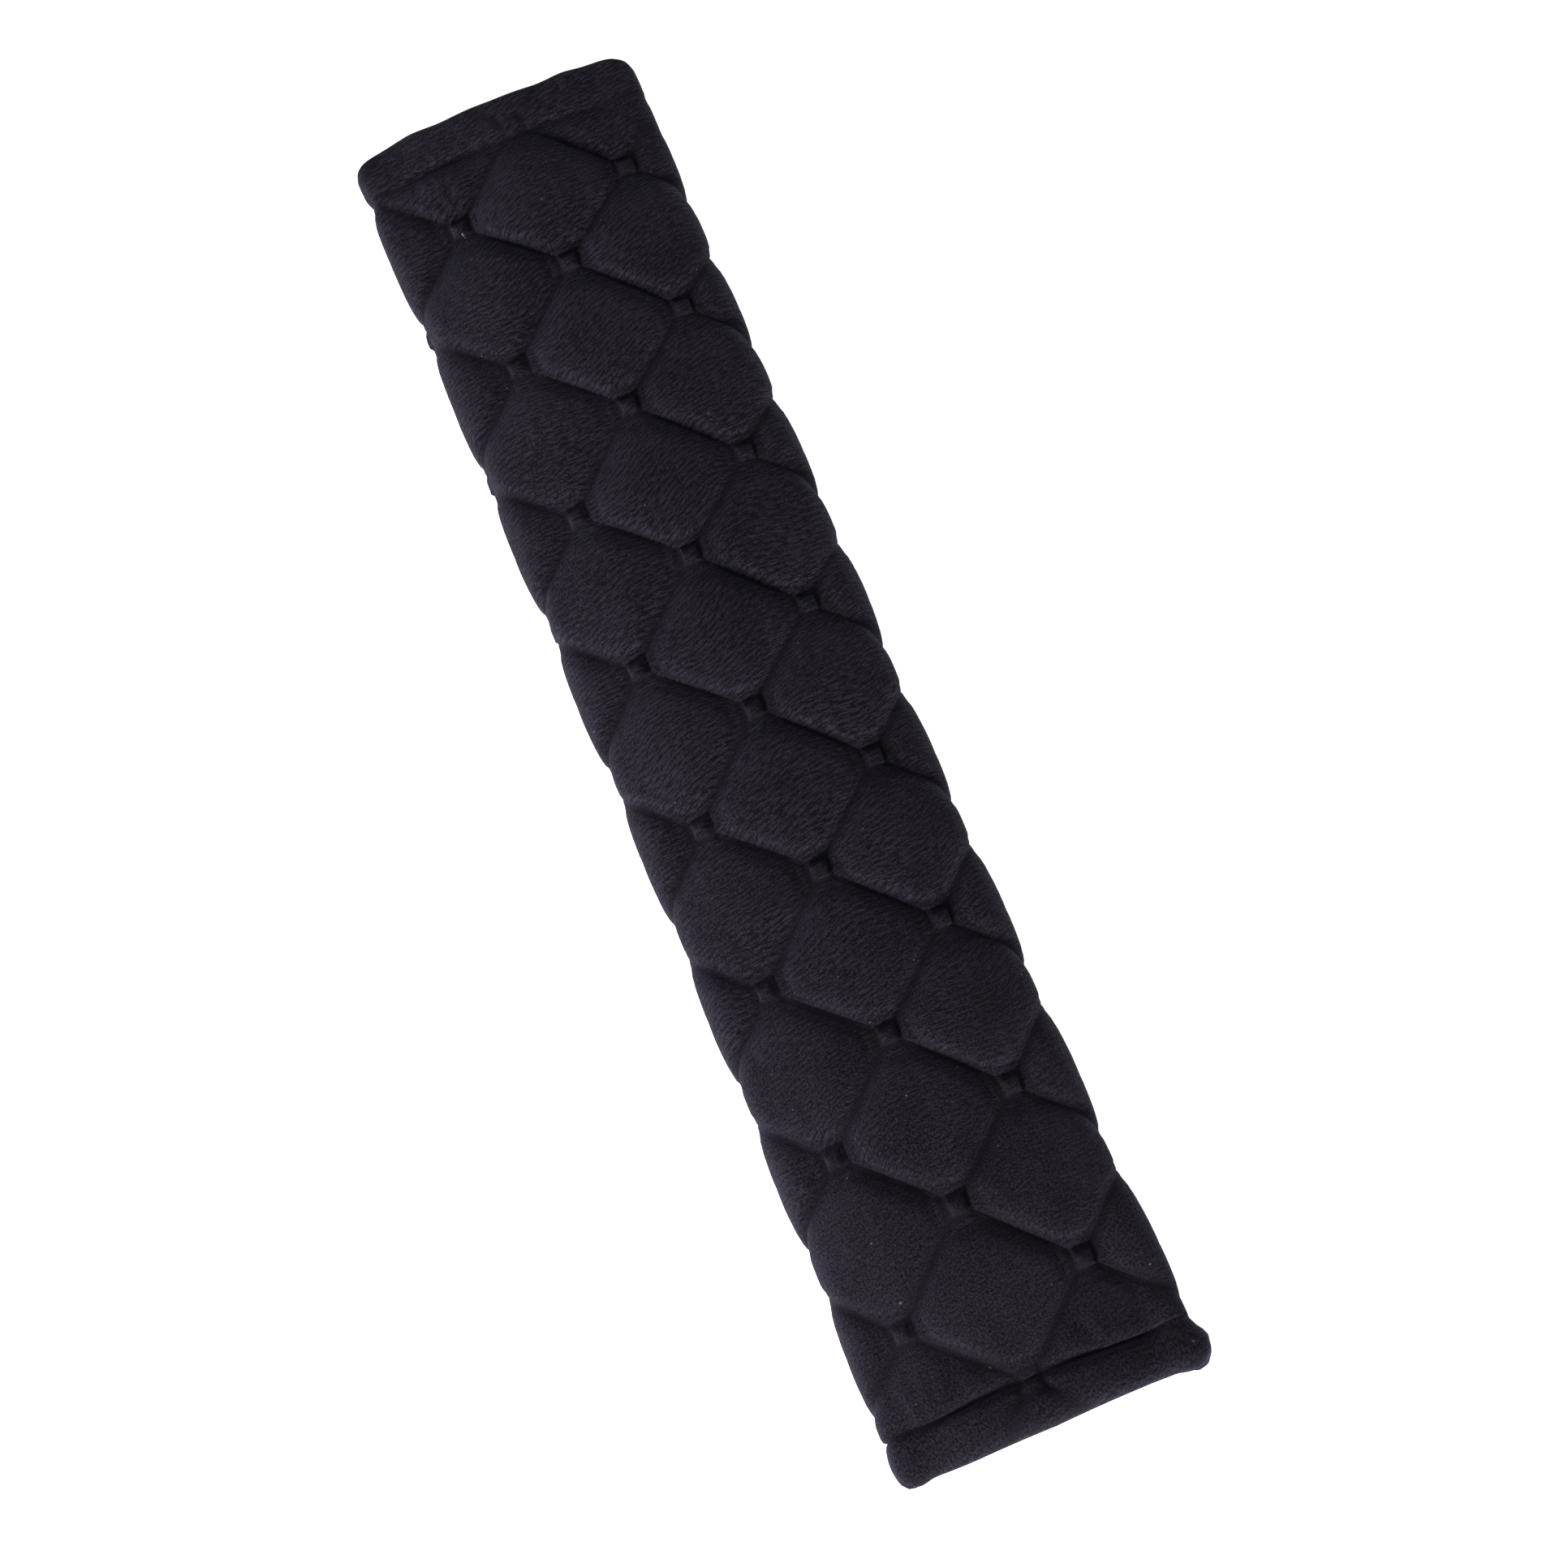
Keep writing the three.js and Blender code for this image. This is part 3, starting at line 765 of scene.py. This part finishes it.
def plush_material(scene):
    """Polyester minky plush: a knit whose 1.5 mm pile is brushed up and sheared.

    It gives the eye a deep, nearly black ground with no gloss, a soft light along every edge where
    the pile is seen from its side, fine ribs where the pile was combed, with painted highlights on
    their tips, and pressed seams with painted shade along them and under each crown's lip.
    """
    finish = scene.pad_finishes
    material, tree, shader = new_material(
        "polyester_minky_plush_brushed",
        Roughness=0.95,
        Specular_IOR_Level=0.1,
        Sheen_Weight=0.23,
        Sheen_Roughness=0.45,
        Sheen_Tint=opaque(finish.plush_sheen),
    )
    position = panel_millimetres(tree)
    split = add_node(tree, "ShaderNodeSeparateXYZ", {0: position})
    across, along = split.outputs["X"], split.outputs["Y"]
    patches, standing = pile_relief(tree, position, across, along)
    pressed, seams = pressed_and_shaded_seams(tree, position, along, scene)
    # Crushed pile lies flat and shows little of its comb
    flat = {0: pressed, 1: -1.3, 2: 1}
    flattened = add_node(tree, "ShaderNodeMath", flat, operation="MULTIPLY_ADD")
    pile = add_node(tree, "ShaderNodeMath", {0: standing, 1: flattened}, operation="MULTIPLY")

    # Painted highlight: the tips of the ribs and tufts, and patches where the pile leans another
    # way, are painted lighter
    lean = {0: patches, 1: 0.7, 2: 0.05}
    lean_light = add_node(tree, "ShaderNodeMath", lean, operation="MULTIPLY_ADD")
    light = {0: pile, 1: 2.5, 2: lean_light}
    lit = add_node(tree, "ShaderNodeMath", light, operation="MULTIPLY_ADD")
    # Specks of lint up to 0.4 mm across, two or three to a cell
    specks = add_node(
        tree, "ShaderNodeTexVoronoi", {"Vector": position, "Scale": 0.065}, voronoi_dimensions="2D"
    )
    chance = add_node(tree, "ShaderNodeSeparateColor", {0: specks.outputs["Color"]})
    reach = add_node(tree, "ShaderNodeMath", {0: chance, 1: 0.014}, operation="MULTIPLY")
    speck = add_node(tree, "ShaderNodeMath", {0: specks, 1: reach}, operation="LESS_THAN")

    # Ground with its painted highlight on the tips, then the seams' painted shade, then the lint,
    # each laid over the colour before it
    under = opaque(finish.plush_pile)
    for share, laid in (
        (lit, finish.plush_tips),
        (seams, finish.plush_seam_shade),
        (speck, finish.lint),
    ):
        layer = {"Factor": share, 6: under, 7: opaque(laid)}
        under = add_node(tree, "ShaderNodeMix", layer, data_type="RGBA").outputs[2]

    # The pile's own relief, pressed down along the seams
    press = {0: seams, 1: -0.6, 2: pile}
    height = add_node(tree, "ShaderNodeMath", press, operation="MULTIPLY_ADD")
    finish_shader(tree, shader, under, height, 0.9, 0.5)
    return material


def cloth_material(name, colour, gauge, relief, sheen, roughness):
    """A fine cloth whose loops or fibres stand in rows one gauge apart, in millimetres."""
    material, tree, shader = new_material(
        name,
        Roughness=roughness,
        Specular_IOR_Level=0.25,
        Sheen_Weight=sheen,
        Sheen_Roughness=0.5,
    )
    position = panel_millimetres(tree)
    rows, courses = (
        add_node(
            tree,
            "ShaderNodeTexWave",
            {
                "Vector": position,
                "Scale": 0.314 / gauge,
                "Distortion": 1,
                "Detail": 1,
                "Detail Scale": 2,
            },
            wave_type="BANDS",
            bands_direction=axis,
            wave_profile="SIN",
        )
        for axis in ("X", "Y")
    )
    crossed = {0: rows.outputs["Fac"], 1: courses.outputs["Fac"]}
    loops = add_node(tree, "ShaderNodeMath", crossed, operation="MULTIPLY")
    fluff = add_node(
        tree,
        "ShaderNodeTexNoise",
        {"Vector": position, "Scale": 1.5 / gauge, "Detail": 2},
        noise_dimensions="2D",
    )
    raised = {0: fluff, 1: 0.5, 2: loops}
    height = add_node(tree, "ShaderNodeMath", raised, operation="MULTIPLY_ADD")
    # Painted shade between the loops and painted light on their tops: darker and lighter copies of
    # the colour
    shades = {"Factor": height, 6: opaque(colour, 0.55), 7: opaque(colour, 1.35)}
    relief_shaded_colour = add_node(tree, "ShaderNodeMix", shades, data_type="RGBA").outputs[2]
    finish_shader(tree, shader, relief_shaded_colour, height, 0.8, relief)
    return material


def thread_material(scene):
    """Spun polyester sewing thread: two plies twisted together.

    It gives the eye short dull dashes with a fine slanting twist.
    """
    colour = scene.pad_finishes.thread
    material, tree, shader = new_material(
        "spun_polyester_thread", Roughness=0.7, Specular_IOR_Level=0.3, Sheen_Weight=0.1
    )
    place = add_node(tree, "ShaderNodeTexCoord").outputs["Object"]
    # One turn of the plies in 0.35 mm, the thread's own diameter
    twist = add_node(
        tree,
        "ShaderNodeTexWave",
        {"Vector": place, "Scale": 900, "Distortion": 0.6},
        wave_type="BANDS",
        bands_direction="DIAGONAL",
    ).outputs["Fac"]
    # Painted shade and light along the twist: darker and lighter copies of the thread's colour
    shades = {"Factor": twist, 6: opaque(colour, 0.6), 7: opaque(colour, 1.6)}
    relief_shaded_colour = add_node(tree, "ShaderNodeMix", shades, data_type="RGBA").outputs[2]
    finish_shader(tree, shader, relief_shaded_colour, twist, 0.5, 0.05)
    return material


def dress(piece, material, *, slot=None, nodes=()):
    """Gives a piece its material, and ties it to the frame."""
    piece.data.materials.clear()
    piece.data.materials.append(material)
    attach(piece, "root")
    if nodes:
        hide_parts(*nodes)


def write_panel_uv(mesh, flat):
    """Stores the panel's flat coordinates in metres as the piece's own UV map."""
    layer = mesh.uv_layers.new(name=PANEL_UV)
    corner_verts = np.zeros(len(mesh.loops), np.int32)
    mesh.loops.foreach_get("vertex_index", corner_verts)
    layer.data.foreach_set("uv", flat[corner_verts, :2].astype(np.float32).ravel())


class SHOULDERPAD_OT_cover(bpy.types.Operator):
    """Builds the quilted plush cover: swelled by cloth simulation, folded round and hemmed"""

    bl_idname = "shoulderpad.cover"
    bl_label = "Plush Cover"

    EDGE_ROUND = mm(0.7)

    def execute(self, context):
        scene = context.scene
        sleeve, lattice = Sleeve(scene), Lattice(scene.quilt_sizes)
        columns, rows = self.columns(sleeve, lattice), self.rows(sleeve, lattice)
        bm = self.swollen_panel(sleeve, lattice, columns, rows)
        self.turn_in(bm, sleeve, columns, rows)
        piece = new_piece("plush_cover_quilted", bm)
        flat = coordinates(piece.data)
        points = sleeve.wrap(flat)
        points[:, 2] = np.maximum(points[:, 2], 0)
        set_coordinates(piece.data, points)
        # The material's own seams follow the sewing wherever it drifts and strays
        station, y, _ = flat.T
        across, along = sleeve.strayed(station, y)
        station = station - (sleeve.drifted(station, y) - station) - across
        pattern = np.column_stack([station, y - sleeve.quilt.offset_along - along])
        write_panel_uv(piece.data, pattern)
        dress(piece, plush_material(scene), slot="plush", nodes=["plush_cover"])
        return {"FINISHED"}

    def swollen_panel(self, sleeve, lattice, columns, rows):
        """The whole plush panel in panel coordinates, swollen between its seams and hemmed."""
        quilt = sleeve.quilt
        bm = grid_bmesh(columns, rows)
        split_along_seams(bm, lattice, quilt.offset_along)
        grid = new_piece("panel_grid", bm)
        column, row, _ = coordinates(grid.data).T
        moved = None
        moved = puff_by_cloth(columns, rows, self.pinned(sleeve, lattice, column, row), quilt)
        station = sleeve.drifted(column, row)
        nose = sleeve.end(station, np.sign(row)) - sleeve.nose
        hem_share = np.clip((np.abs(row) - sleeve.groove) / (rows[-1] - sleeve.groove), 0, 1)
        hemmed = np.sign(row) * mix(sleeve.groove, nose, hem_share)
        y = np.where(np.abs(row) > sleeve.groove, hemmed, row)
        height = quilted_heights(sleeve, column, station, y, moved)
        across, along = sleeve.strayed(column, row)
        station, y = station + across, y + along
        # The crowns lean towards the bottom end and keep what the simulation moved them sideways
        share = np.clip(height / quilt.front_puff, 0, 1) * (np.abs(y) < sleeve.groove)
        y = y - quilt.lean * share
        if moved is not None:
            station, y = station + moved[:, 0] * share, y + moved[:, 1] * share
        set_coordinates(grid.data, np.column_stack([station, y, height]))
        bm = bmesh.new()
        bm.from_mesh(grid.data)
        bpy.data.objects.remove(grid)
        return bm

    def columns(self, sleeve, lattice):
        lines = lattice.lines(
            sleeve.outer_edge + self.EDGE_ROUND, sleeve.inner_edge - self.EDGE_ROUND, 0
        )
        hidden = np.nonzero(lines > sleeve.step_top)[0][1:-1:2]
        return even(np.delete(lines, hidden))

    def rows(self, sleeve, lattice):
        middle = lattice.lines(-sleeve.groove, sleeve.groove, sleeve.quilt.offset_along)
        hem = np.linspace(sleeve.groove, sleeve.groove + mm(7.25), 10)[1:]
        return even(np.concatenate([-hem[::-1], middle, hem]))

    def pinned(self, sleeve, lattice, column, row):
        along = row - sleeve.quilt.offset_along
        near = mm(0.02)
        beyond = lattice.beyond_square(column, along)
        rising, falling = lattice.seam_distances(column, along)
        seam = (np.minimum(rising, falling) < near) & (beyond > -near)
        square = np.abs(beyond) < near
        ends = np.abs(row) > sleeve.groove - near
        edges = (column <= column.min() + near) | (column >= column.max() - near)
        return seam | square | ends | edges

    def turn_in(self, bm, sleeve, columns, rows):
        """Rounds the panel's four edges, turns them in, and closes the knit back of the plush."""
        pad, depth = sleeve.pad, sleeve.depth
        base = bm.verts.layers.float_vector.new("base")
        side = bm.verts.layers.float_vector.new("side")
        across, along = len(columns) - 1, len(rows) - 1
        bm.verts.ensure_lookup_table()
        stride = across + 1
        for index, vert in enumerate(bm.verts):
            i, j = index % stride, index // stride
            vert[base] = vert.co
            vert[side] = ((i == across) - (i == 0), (j == along) - (j == 0), 0)
        back = -pad.cover
        flap = back - pad.layer_gap * 2 - pad.wadding
        wall = pad.edge_wall
        pocket = mm(2.75)

        def rounded(degrees):
            angle = math.radians(degrees)

            def place(start, way, end):
                radius = (start.z + depth) / 2
                return (
                    start.x + way.x * self.EDGE_ROUND * math.cos(angle),
                    start.y + way.y * radius * math.cos(angle),
                    (start.z - depth) / 2 + radius * math.sin(angle),
                )

            return place

        def inset(share, height, margin, to_end):
            half = (sleeve.inner_edge - sleeve.outer_edge) / 2
            middle = (sleeve.inner_edge + sleeve.outer_edge) / 2

            def place(start, way, end):
                target = end if to_end else sleeve.flap_edge
                y_share = abs(start.y) / (end - sleeve.nose)
                goal_x = middle + (start.x - middle) * (half - margin) / (half - self.EDGE_ROUND)
                goal_y = math.copysign(y_share * (target - (pocket if to_end else 0)), start.y)
                return (mix(start.x, goal_x, share), mix(start.y, goal_y, share), height)

            return place

        rings = [rounded(degrees) for degrees in (60, 30, 0, -30, -60, -90)]
        rings += [
            inset(0.5, -depth, wall, False),
            inset(1, -depth, wall, False),
            inset(1, flap, wall, False),
            inset(1, flap, wall - mm(0.06), True),
        ]
        edges = [edge for edge in bm.edges if edge.is_boundary]
        for place in rings:
            made = bmesh.ops.extrude_edge_only(bm, edges=edges)["geom"]
            verts = [item for item in made if isinstance(item, bmesh.types.BMVert)]
            edges = [item for item in made if isinstance(item, bmesh.types.BMEdge)]
            edges = [edge for edge in edges if edge.is_boundary]
            starts = np.array([vert[base][0] for vert in verts])
            sides = np.array([math.copysign(1, vert[base][1]) for vert in verts])
            ends = sleeve.end(starts, sides)
            for vert, end in zip(verts, ends):
                vert.co = place(vert[base], vert[side], end)
        last = inset(1, back, wall - mm(0.06), True)
        half_across, half_along = across // 2, along // 2
        inner = bmesh.ops.create_grid(
            bm, x_segments=half_across, y_segments=half_along, size=0.5
        )["verts"]
        picked = [
            (round((v.co.x + 0.5) * half_across) * 2, round((v.co.y + 0.5) * half_along) * 2)
            for v in inner
        ]
        x = np.array([columns[i] for i, _ in picked])
        y = np.array([rows[j] for _, j in picked])
        ends = sleeve.end(x, np.sign(y))
        for vert, start_x, start_y, end in zip(inner, x, y, ends):
            nose = (end - sleeve.nose) / rows[-1]
            vert.co = last(Vector((start_x, start_y * nose, 0)), None, end)
        inner_faces = {face for vert in inner for face in vert.link_faces}
        bmesh.ops.reverse_faces(bm, faces=list(inner_faces))
        rim = [edge for edge in bm.edges if edge.is_boundary]
        bmesh.ops.bridge_loops(bm, edges=rim)
        bmesh.ops.recalc_face_normals(bm, faces=bm.faces)


def sheet_bmesh(sleeve, low, high, first, last, end_of, steps_across, steps_along):
    """A closed flat sheet between two stations and two levels, in panel coordinates."""
    columns = np.linspace(first, last, steps_across + 1)
    bm = grid_bmesh(columns, np.linspace(-1, 1, steps_along + 1))
    stations = np.array([vert.co.x for vert in bm.verts])
    shares = np.array([vert.co.y for vert in bm.verts])
    ends = end_of(stations, np.sign(shares))
    for vert, share, end in zip(bm.verts, shares, ends):
        vert.co = (vert.co.x, share * end, high)
    made = bmesh.ops.extrude_face_region(bm, geom=bm.faces[:] + bm.edges[:] + bm.verts[:])["geom"]
    bmesh.ops.translate(
        bm, verts=[v for v in made if isinstance(v, bmesh.types.BMVert)], vec=(0, 0, low - high)
    )
    bmesh.ops.recalc_face_normals(bm, faces=bm.faces)
    return bm


def wrapped_sheet(name, sleeve, bm):
    """A flat sheet folded round the section, with its panel coordinates kept as a UV map."""
    piece = new_piece(name, bm)
    flat = coordinates(piece.data)
    set_coordinates(piece.data, sleeve.wrap(flat))
    write_panel_uv(piece.data, flat)
    return piece


class SHOULDERPAD_OT_wadding(bpy.types.Operator):
    """Builds the wadding between the plush and the lining"""

    bl_idname = "shoulderpad.wadding"
    bl_label = "Wadding"

    def execute(self, context):
        scene = context.scene
        sleeve, pad = Sleeve(scene), scene.pad_sizes
        inset = pad.edge_wall + pad.layer_gap
        high = -pad.cover - pad.layer_gap
        bm = sheet_bmesh(
            sleeve,
            high - pad.wadding,
            high,
            sleeve.outer_edge + inset,
            sleeve.inner_edge - inset,
            lambda station, side: sleeve.end(station, side) - mm(3),
            150,
            24,
        )
        piece = wrapped_sheet("wadding_layer", sleeve, bm)
        # Needled polyester fleece: pale, matt and cloudy, with no threads to be seen
        material = cloth_material(
            "polyester_wadding_needled", scene.pad_finishes.wadding, 1.6, 0.2, 0.2, 1
        )
        dress(piece, material, slot="padding", nodes=["foam_padding"])
        return {"FINISHED"}


class SHOULDERPAD_OT_lining(bpy.types.Operator):
    """Builds the knitted lining that the belt runs against"""

    bl_idname = "shoulderpad.lining"
    bl_label = "Lining"

    def execute(self, context):
        scene = context.scene
        sleeve, pad = Sleeve(scene), scene.pad_sizes
        inset = pad.edge_wall + pad.layer_gap
        length = sleeve.flap_edge - pad.layer_gap
        first, last = sleeve.outer_edge + inset, sleeve.inner_edge - inset
        middle = pad.lining / 2 - sleeve.depth
        bm = sheet_bmesh(
            sleeve,
            -sleeve.depth,
            pad.lining - sleeve.depth,
            first,
            last,
            lambda station, side: np.full_like(station, length),
            150,
            60,
        )
        piece = wrapped_sheet("lining_cloth", sleeve, bm)
        # Warp-knitted tricot: smooth and dull, its 0.9 mm loops drawn coarser than life to show
        material = cloth_material(
            "polyester_tricot_lining", scene.pad_finishes.lining, 0.9, 0.12, 0.15, 0.85
        )
        dress(piece, material, slot="lining", nodes=["inner_lining"])
        stations = np.linspace(first, last, 2000)
        line = sleeve.wrap(np.column_stack([stations, stations * 0, stations * 0 + middle]))
        return {"FINISHED"}


class SHOULDERPAD_OT_tapes(bpy.types.Operator):
    """Builds the hook tape and the loop tape that close the sleeve"""

    bl_idname = "shoulderpad.tapes"
    bl_label = "Closure Tapes"

    def execute(self, context):
        scene = context.scene
        sleeve, pad, closure = Sleeve(scene), scene.pad_sizes, scene.closure_sizes
        hook_high = -sleeve.depth - pad.layer_gap
        loop_low = pad.layer_gap
        first = sleeve.outer_edge + closure.tape_margin
        last = sleeve.inner_edge - closure.tape_margin
        # Hook tape: moulded hooks in rows 1.2 mm apart, a hard and faintly shining grid
        hook = cloth_material("nylon_hook_tape", scene.pad_finishes.hook_tape, 1.2, 0.3, 0.02, 0.55)
        # Loop tape: brushed loops 0.8 mm apart, a dull and woolly ground
        loop = cloth_material("nylon_loop_tape", scene.pad_finishes.loop_tape, 0.8, 0.2, 0.2, 0.95)
        tapes = [
            ("hook_tape_nylon", "hook_tape", hook, first, hook_high - closure.tape_thickness),
            ("loop_tape_nylon", "loop_tape", loop, last - closure.tape_width, loop_low),
        ]
        for name, node, material, start, low in tapes:
            bm = sheet_bmesh(
                sleeve,
                low,
                low + closure.tape_thickness,
                start,
                start + closure.tape_width,
                lambda station, side: sleeve.end(station, side) - closure.end_margin,
                40,
                150,
            )
            rim = [edge for edge in bm.edges if edge.calc_face_angle(0) > math.radians(60)]
            bmesh.ops.bevel(
                bm, geom=rim, offset=mm(0.2), segments=2, profile=0.5, affect="EDGES", material=-1
            )
            dress(wrapped_sheet(name, sleeve, bm), material, slot=node, nodes=[node])
        return {"FINISHED"}


class SHOULDERPAD_OT_stitching(bpy.types.Operator):
    """Sews the quilting, both end hems and both closure tapes"""

    bl_idname = "shoulderpad.stitching"
    bl_label = "Stitching"

    # How deep the thread lies under the seam level
    QUILTING_DEPTH, GROOVE_DEPTH, TAPE_DEPTH = mm(0.42), mm(0.62), mm(0.05)
    FROM_EDGE = mm(3)

    def execute(self, context):
        scene = context.scene
        sleeve, quilt = Sleeve(scene), scene.quilt_sizes
        material = thread_material(scene)
        for name, stitches in (
            ("thread_quilting", self.quilting(sleeve)),
            ("thread_hems", self.hems(sleeve)),
            ("thread_tapes", self.tapes(sleeve)),
        ):
            dress(self.sew(name, sleeve, stitches, quilt.thread), material)
        return {"FINISHED"}

    def run(self, start, end, pitch):
        """Stitches from one panel point to another, each as its two ends."""
        start, end = np.array(start), np.array(end)
        count = max(1, round(float(np.linalg.norm(end - start)) / pitch))
        return [
            (mix(start, end, (k + 0.1) / count), mix(start, end, (k + 0.9) / count))
            for k in range(count)
        ]

    def quilting(self, sleeve):
        quilt, lattice = sleeve.quilt, Lattice(sleeve.quilt)
        half, square = quilt.pitch / 2, lattice.square
        low, high = sleeve.outer_edge + self.FROM_EDGE, sleeve.inner_edge - self.FROM_EDGE
        limit = sleeve.groove - mm(1)
        last_row = math.ceil(limit / half)
        corners = np.array([(1, 1), (-1, 1), (-1, -1), (1, -1)])
        made = []
        for i in range(math.floor(low / half), math.ceil(high / half) + 1):
            for j in range(-last_row, last_row + 1):
                if (i + j) % 2:
                    continue
                at = np.array([i * half, j * half])
                for first, second in zip(corners, np.roll(corners, -1, axis=0)):
                    made += self.run(at + first * square, at + second * square, quilt.stitch)
                for way in corners[:2]:
                    made += self.run(at + way * square, at + way * (half - square), quilt.stitch)
        column, along = np.array(made).reshape(-1, 2).T
        y = along + quilt.offset_along
        slide, shift = sleeve.strayed(column, y)
        station, y = sleeve.drifted(column, y) + slide, y + shift
        inside = (low < station) & (station < high) & (np.abs(y) < limit)
        points = np.column_stack([station, y, np.full_like(y, -self.QUILTING_DEPTH)])
        return points.reshape(-1, 2, 3)[inside.reshape(-1, 2).all(axis=1)]

    def hems(self, sleeve):
        first, last, level = sleeve.outer_edge + self.FROM_EDGE, sleeve.step_top, -self.GROOVE_DEPTH
        stitches = []
        for y in (-sleeve.groove, sleeve.groove):
            stitches += self.run((first, y, level), (last, y, level), sleeve.quilt.stitch)
        return stitches

    def tapes(self, sleeve):
        closure, inset = sleeve.closure, mm(1.5)
        hook = sleeve.outer_edge + closure.tape_margin
        loop = sleeve.inner_edge - closure.tape_margin - closure.tape_width
        reach = sleeve.pad.length / 2 - closure.end_margin - mm(4)
        stitches = []
        for tape, level in ((hook, -self.TAPE_DEPTH), (loop, -sleeve.depth)):
            for station in (tape + inset, tape + closure.tape_width - inset):
                start, end = (station, -reach, level), (station, reach, level)
                stitches += self.run(start, end, sleeve.quilt.stitch)
        return stitches

    def sew(self, name, sleeve, stitches, thickness):
        """One piece from all the stitches, each a short rounded length of thread."""
        ends = sleeve.wrap(np.array(stitches).reshape(-1, 3)).reshape(-1, 2, 3)
        bm = bmesh.new()
        bmesh.ops.create_uvsphere(bm, u_segments=6, v_segments=4, radius=1)
        pattern = bpy.data.meshes.new("stitch")
        bm.to_mesh(pattern)
        bm.clear()
        for first, second in ends:
            first, second = Vector(first), Vector(second)
            way = second - first
            turn = way.to_track_quat("Z", "Y").to_matrix().to_4x4()
            size = Matrix.Diagonal((thickness / 2, thickness / 2, way.length / 2, 1))
            stitch = pattern.copy()
            stitch.transform(Matrix.Translation((first + second) / 2) @ turn @ size)
            bm.from_mesh(stitch)
            bpy.data.meshes.remove(stitch)
        bpy.data.meshes.remove(pattern)
        return new_piece(name, bm)


class SHOULDERPAD_OT_stage(bpy.types.Operator):
    """Lays the pale floor, hangs the soft studio light and sets the camera"""

    bl_idname = "shoulderpad.stage"
    bl_label = "Stage"

    def execute(self, context):
        scene = context.scene
        stage = scene.stage_settings
        bm = bmesh.new()
        bmesh.ops.create_grid(bm, x_segments=8, y_segments=8, size=3)
        floor = new_piece("studio_floor", bm)
        # Opal acrylic light table: milky and matt, lit from below so that no shadow is left on it
        material, _, _ = new_material(
            "opal_acrylic_light_table",
            Base_Color=opaque(stage.floor),
            Roughness=0.9,
            Specular_IOR_Level=0.1,
            Emission_Color=opaque(stage.floor),
            Emission_Strength=1.0,
        )
        floor.data.materials.append(material)

        world = bpy.data.worlds.new("studio_fill")
        world.use_nodes = True
        fill = world.node_tree.nodes["Background"].inputs
        fill["Color"].default_value = (1, 1, 1, 1)
        fill["Strength"].default_value = stage.fill
        scene.world = world
        # Where each softbox hangs and its diameter in metres, and its power in watts
        for name, place, diameter, power in (
            ("key_light", (-0.8, -1.35, 0.7), 0.6, 39.5),
            ("side_light", (-1.4, 0.1, 0.6), 0.9, 2.5),
            ("top_light", (0.1, -0.3, 1.7), 1.0, 4.5),
        ):
            light = bpy.data.lights.new(name, "AREA")
            light.shape, light.size, light.energy = "DISK", diameter, power
            lamp = bpy.data.objects.new(name, light)
            lamp.location = place
            lamp.rotation_euler = Vector(place).to_track_quat("Z", "Y").to_euler()
            scene.collection.objects.link(lamp)
        scene.view_settings.view_transform = "Standard"
        self.set_camera(scene, stage)
        return {"FINISHED"}

    def set_camera(self, scene, stage):
        sin_a, cos_a = math.sin(stage.azimuth), math.cos(stage.azimuth)
        sin_e, cos_e = math.sin(stage.elevation), math.cos(stage.elevation)
        back = Vector((sin_a * cos_e, -cos_a * cos_e, sin_e))
        level = Vector((cos_a, sin_a, 0))
        upright = back.cross(level)
        right = level * math.cos(stage.roll) + upright * math.sin(stage.roll)
        up = upright * math.cos(stage.roll) - level * math.sin(stage.roll)
        lens = bpy.data.cameras.new("camera")
        lens.lens = stage.lens
        lens.sensor_width = 36
        lens.clip_start, lens.clip_end = 0.01, 20
        camera = bpy.data.objects.new("camera", lens)
        turn = Matrix((right, up, back)).transposed().to_4x4()
        camera.matrix_world = Matrix.Translation(Vector(stage.aim) + back * stage.distance) @ turn
        scene.collection.objects.link(camera)
        scene.camera = camera


class SHOULDERPAD_PT_builder(bpy.types.Panel):
    """Lists the pad's pieces in the sidebar"""

    bl_label = "Shoulder Pad"
    bl_idname = "SHOULDERPAD_PT_builder"
    bl_space_type = "VIEW_3D"
    bl_region_type = "UI"
    bl_category = "Shoulder Pad"

    def draw(self, context):
        layout, scene = self.layout, context.scene
        for group in GROUPS:
            box = layout.box()
            settings = getattr(scene, group)
            for name in settings.bl_rna.properties.keys():
                if name not in ("rna_type", "name"):
                    box.prop(settings, name)
        for operator in OPERATORS:
            layout.operator(operator.bl_idname)


GROUPS = {
    "pad_sizes": PadSizes,
    "quilt_sizes": QuiltSizes,
    "closure_sizes": ClosureSizes,
    "pad_finishes": PadFinishes,
    "stage_settings": StageSettings,
}
OPERATORS = [
    SHOULDERPAD_OT_stage,
    SHOULDERPAD_OT_cover,
    SHOULDERPAD_OT_wadding,
    SHOULDERPAD_OT_lining,
    SHOULDERPAD_OT_tapes,
    SHOULDERPAD_OT_stitching,
]


def register():
    for cls in [*GROUPS.values(), *OPERATORS, SHOULDERPAD_PT_builder]:
        bpy.utils.register_class(cls)
    for name, cls in GROUPS.items():
        setattr(bpy.types.Scene, name, PointerProperty(type=cls))


def unregister():
    for name in GROUPS:
        delattr(bpy.types.Scene, name)
    for cls in reversed([*GROUPS.values(), *OPERATORS, SHOULDERPAD_PT_builder]):
        bpy.utils.unregister_class(cls)


def main():
    register()
    bpy.ops.shoulderpad.stage()
    bpy.ops.shoulderpad.cover()
    bpy.ops.shoulderpad.wadding()
    bpy.ops.shoulderpad.lining()
    bpy.ops.shoulderpad.tapes()
    bpy.ops.shoulderpad.stitching()


if __name__ == "__main__":
    main()
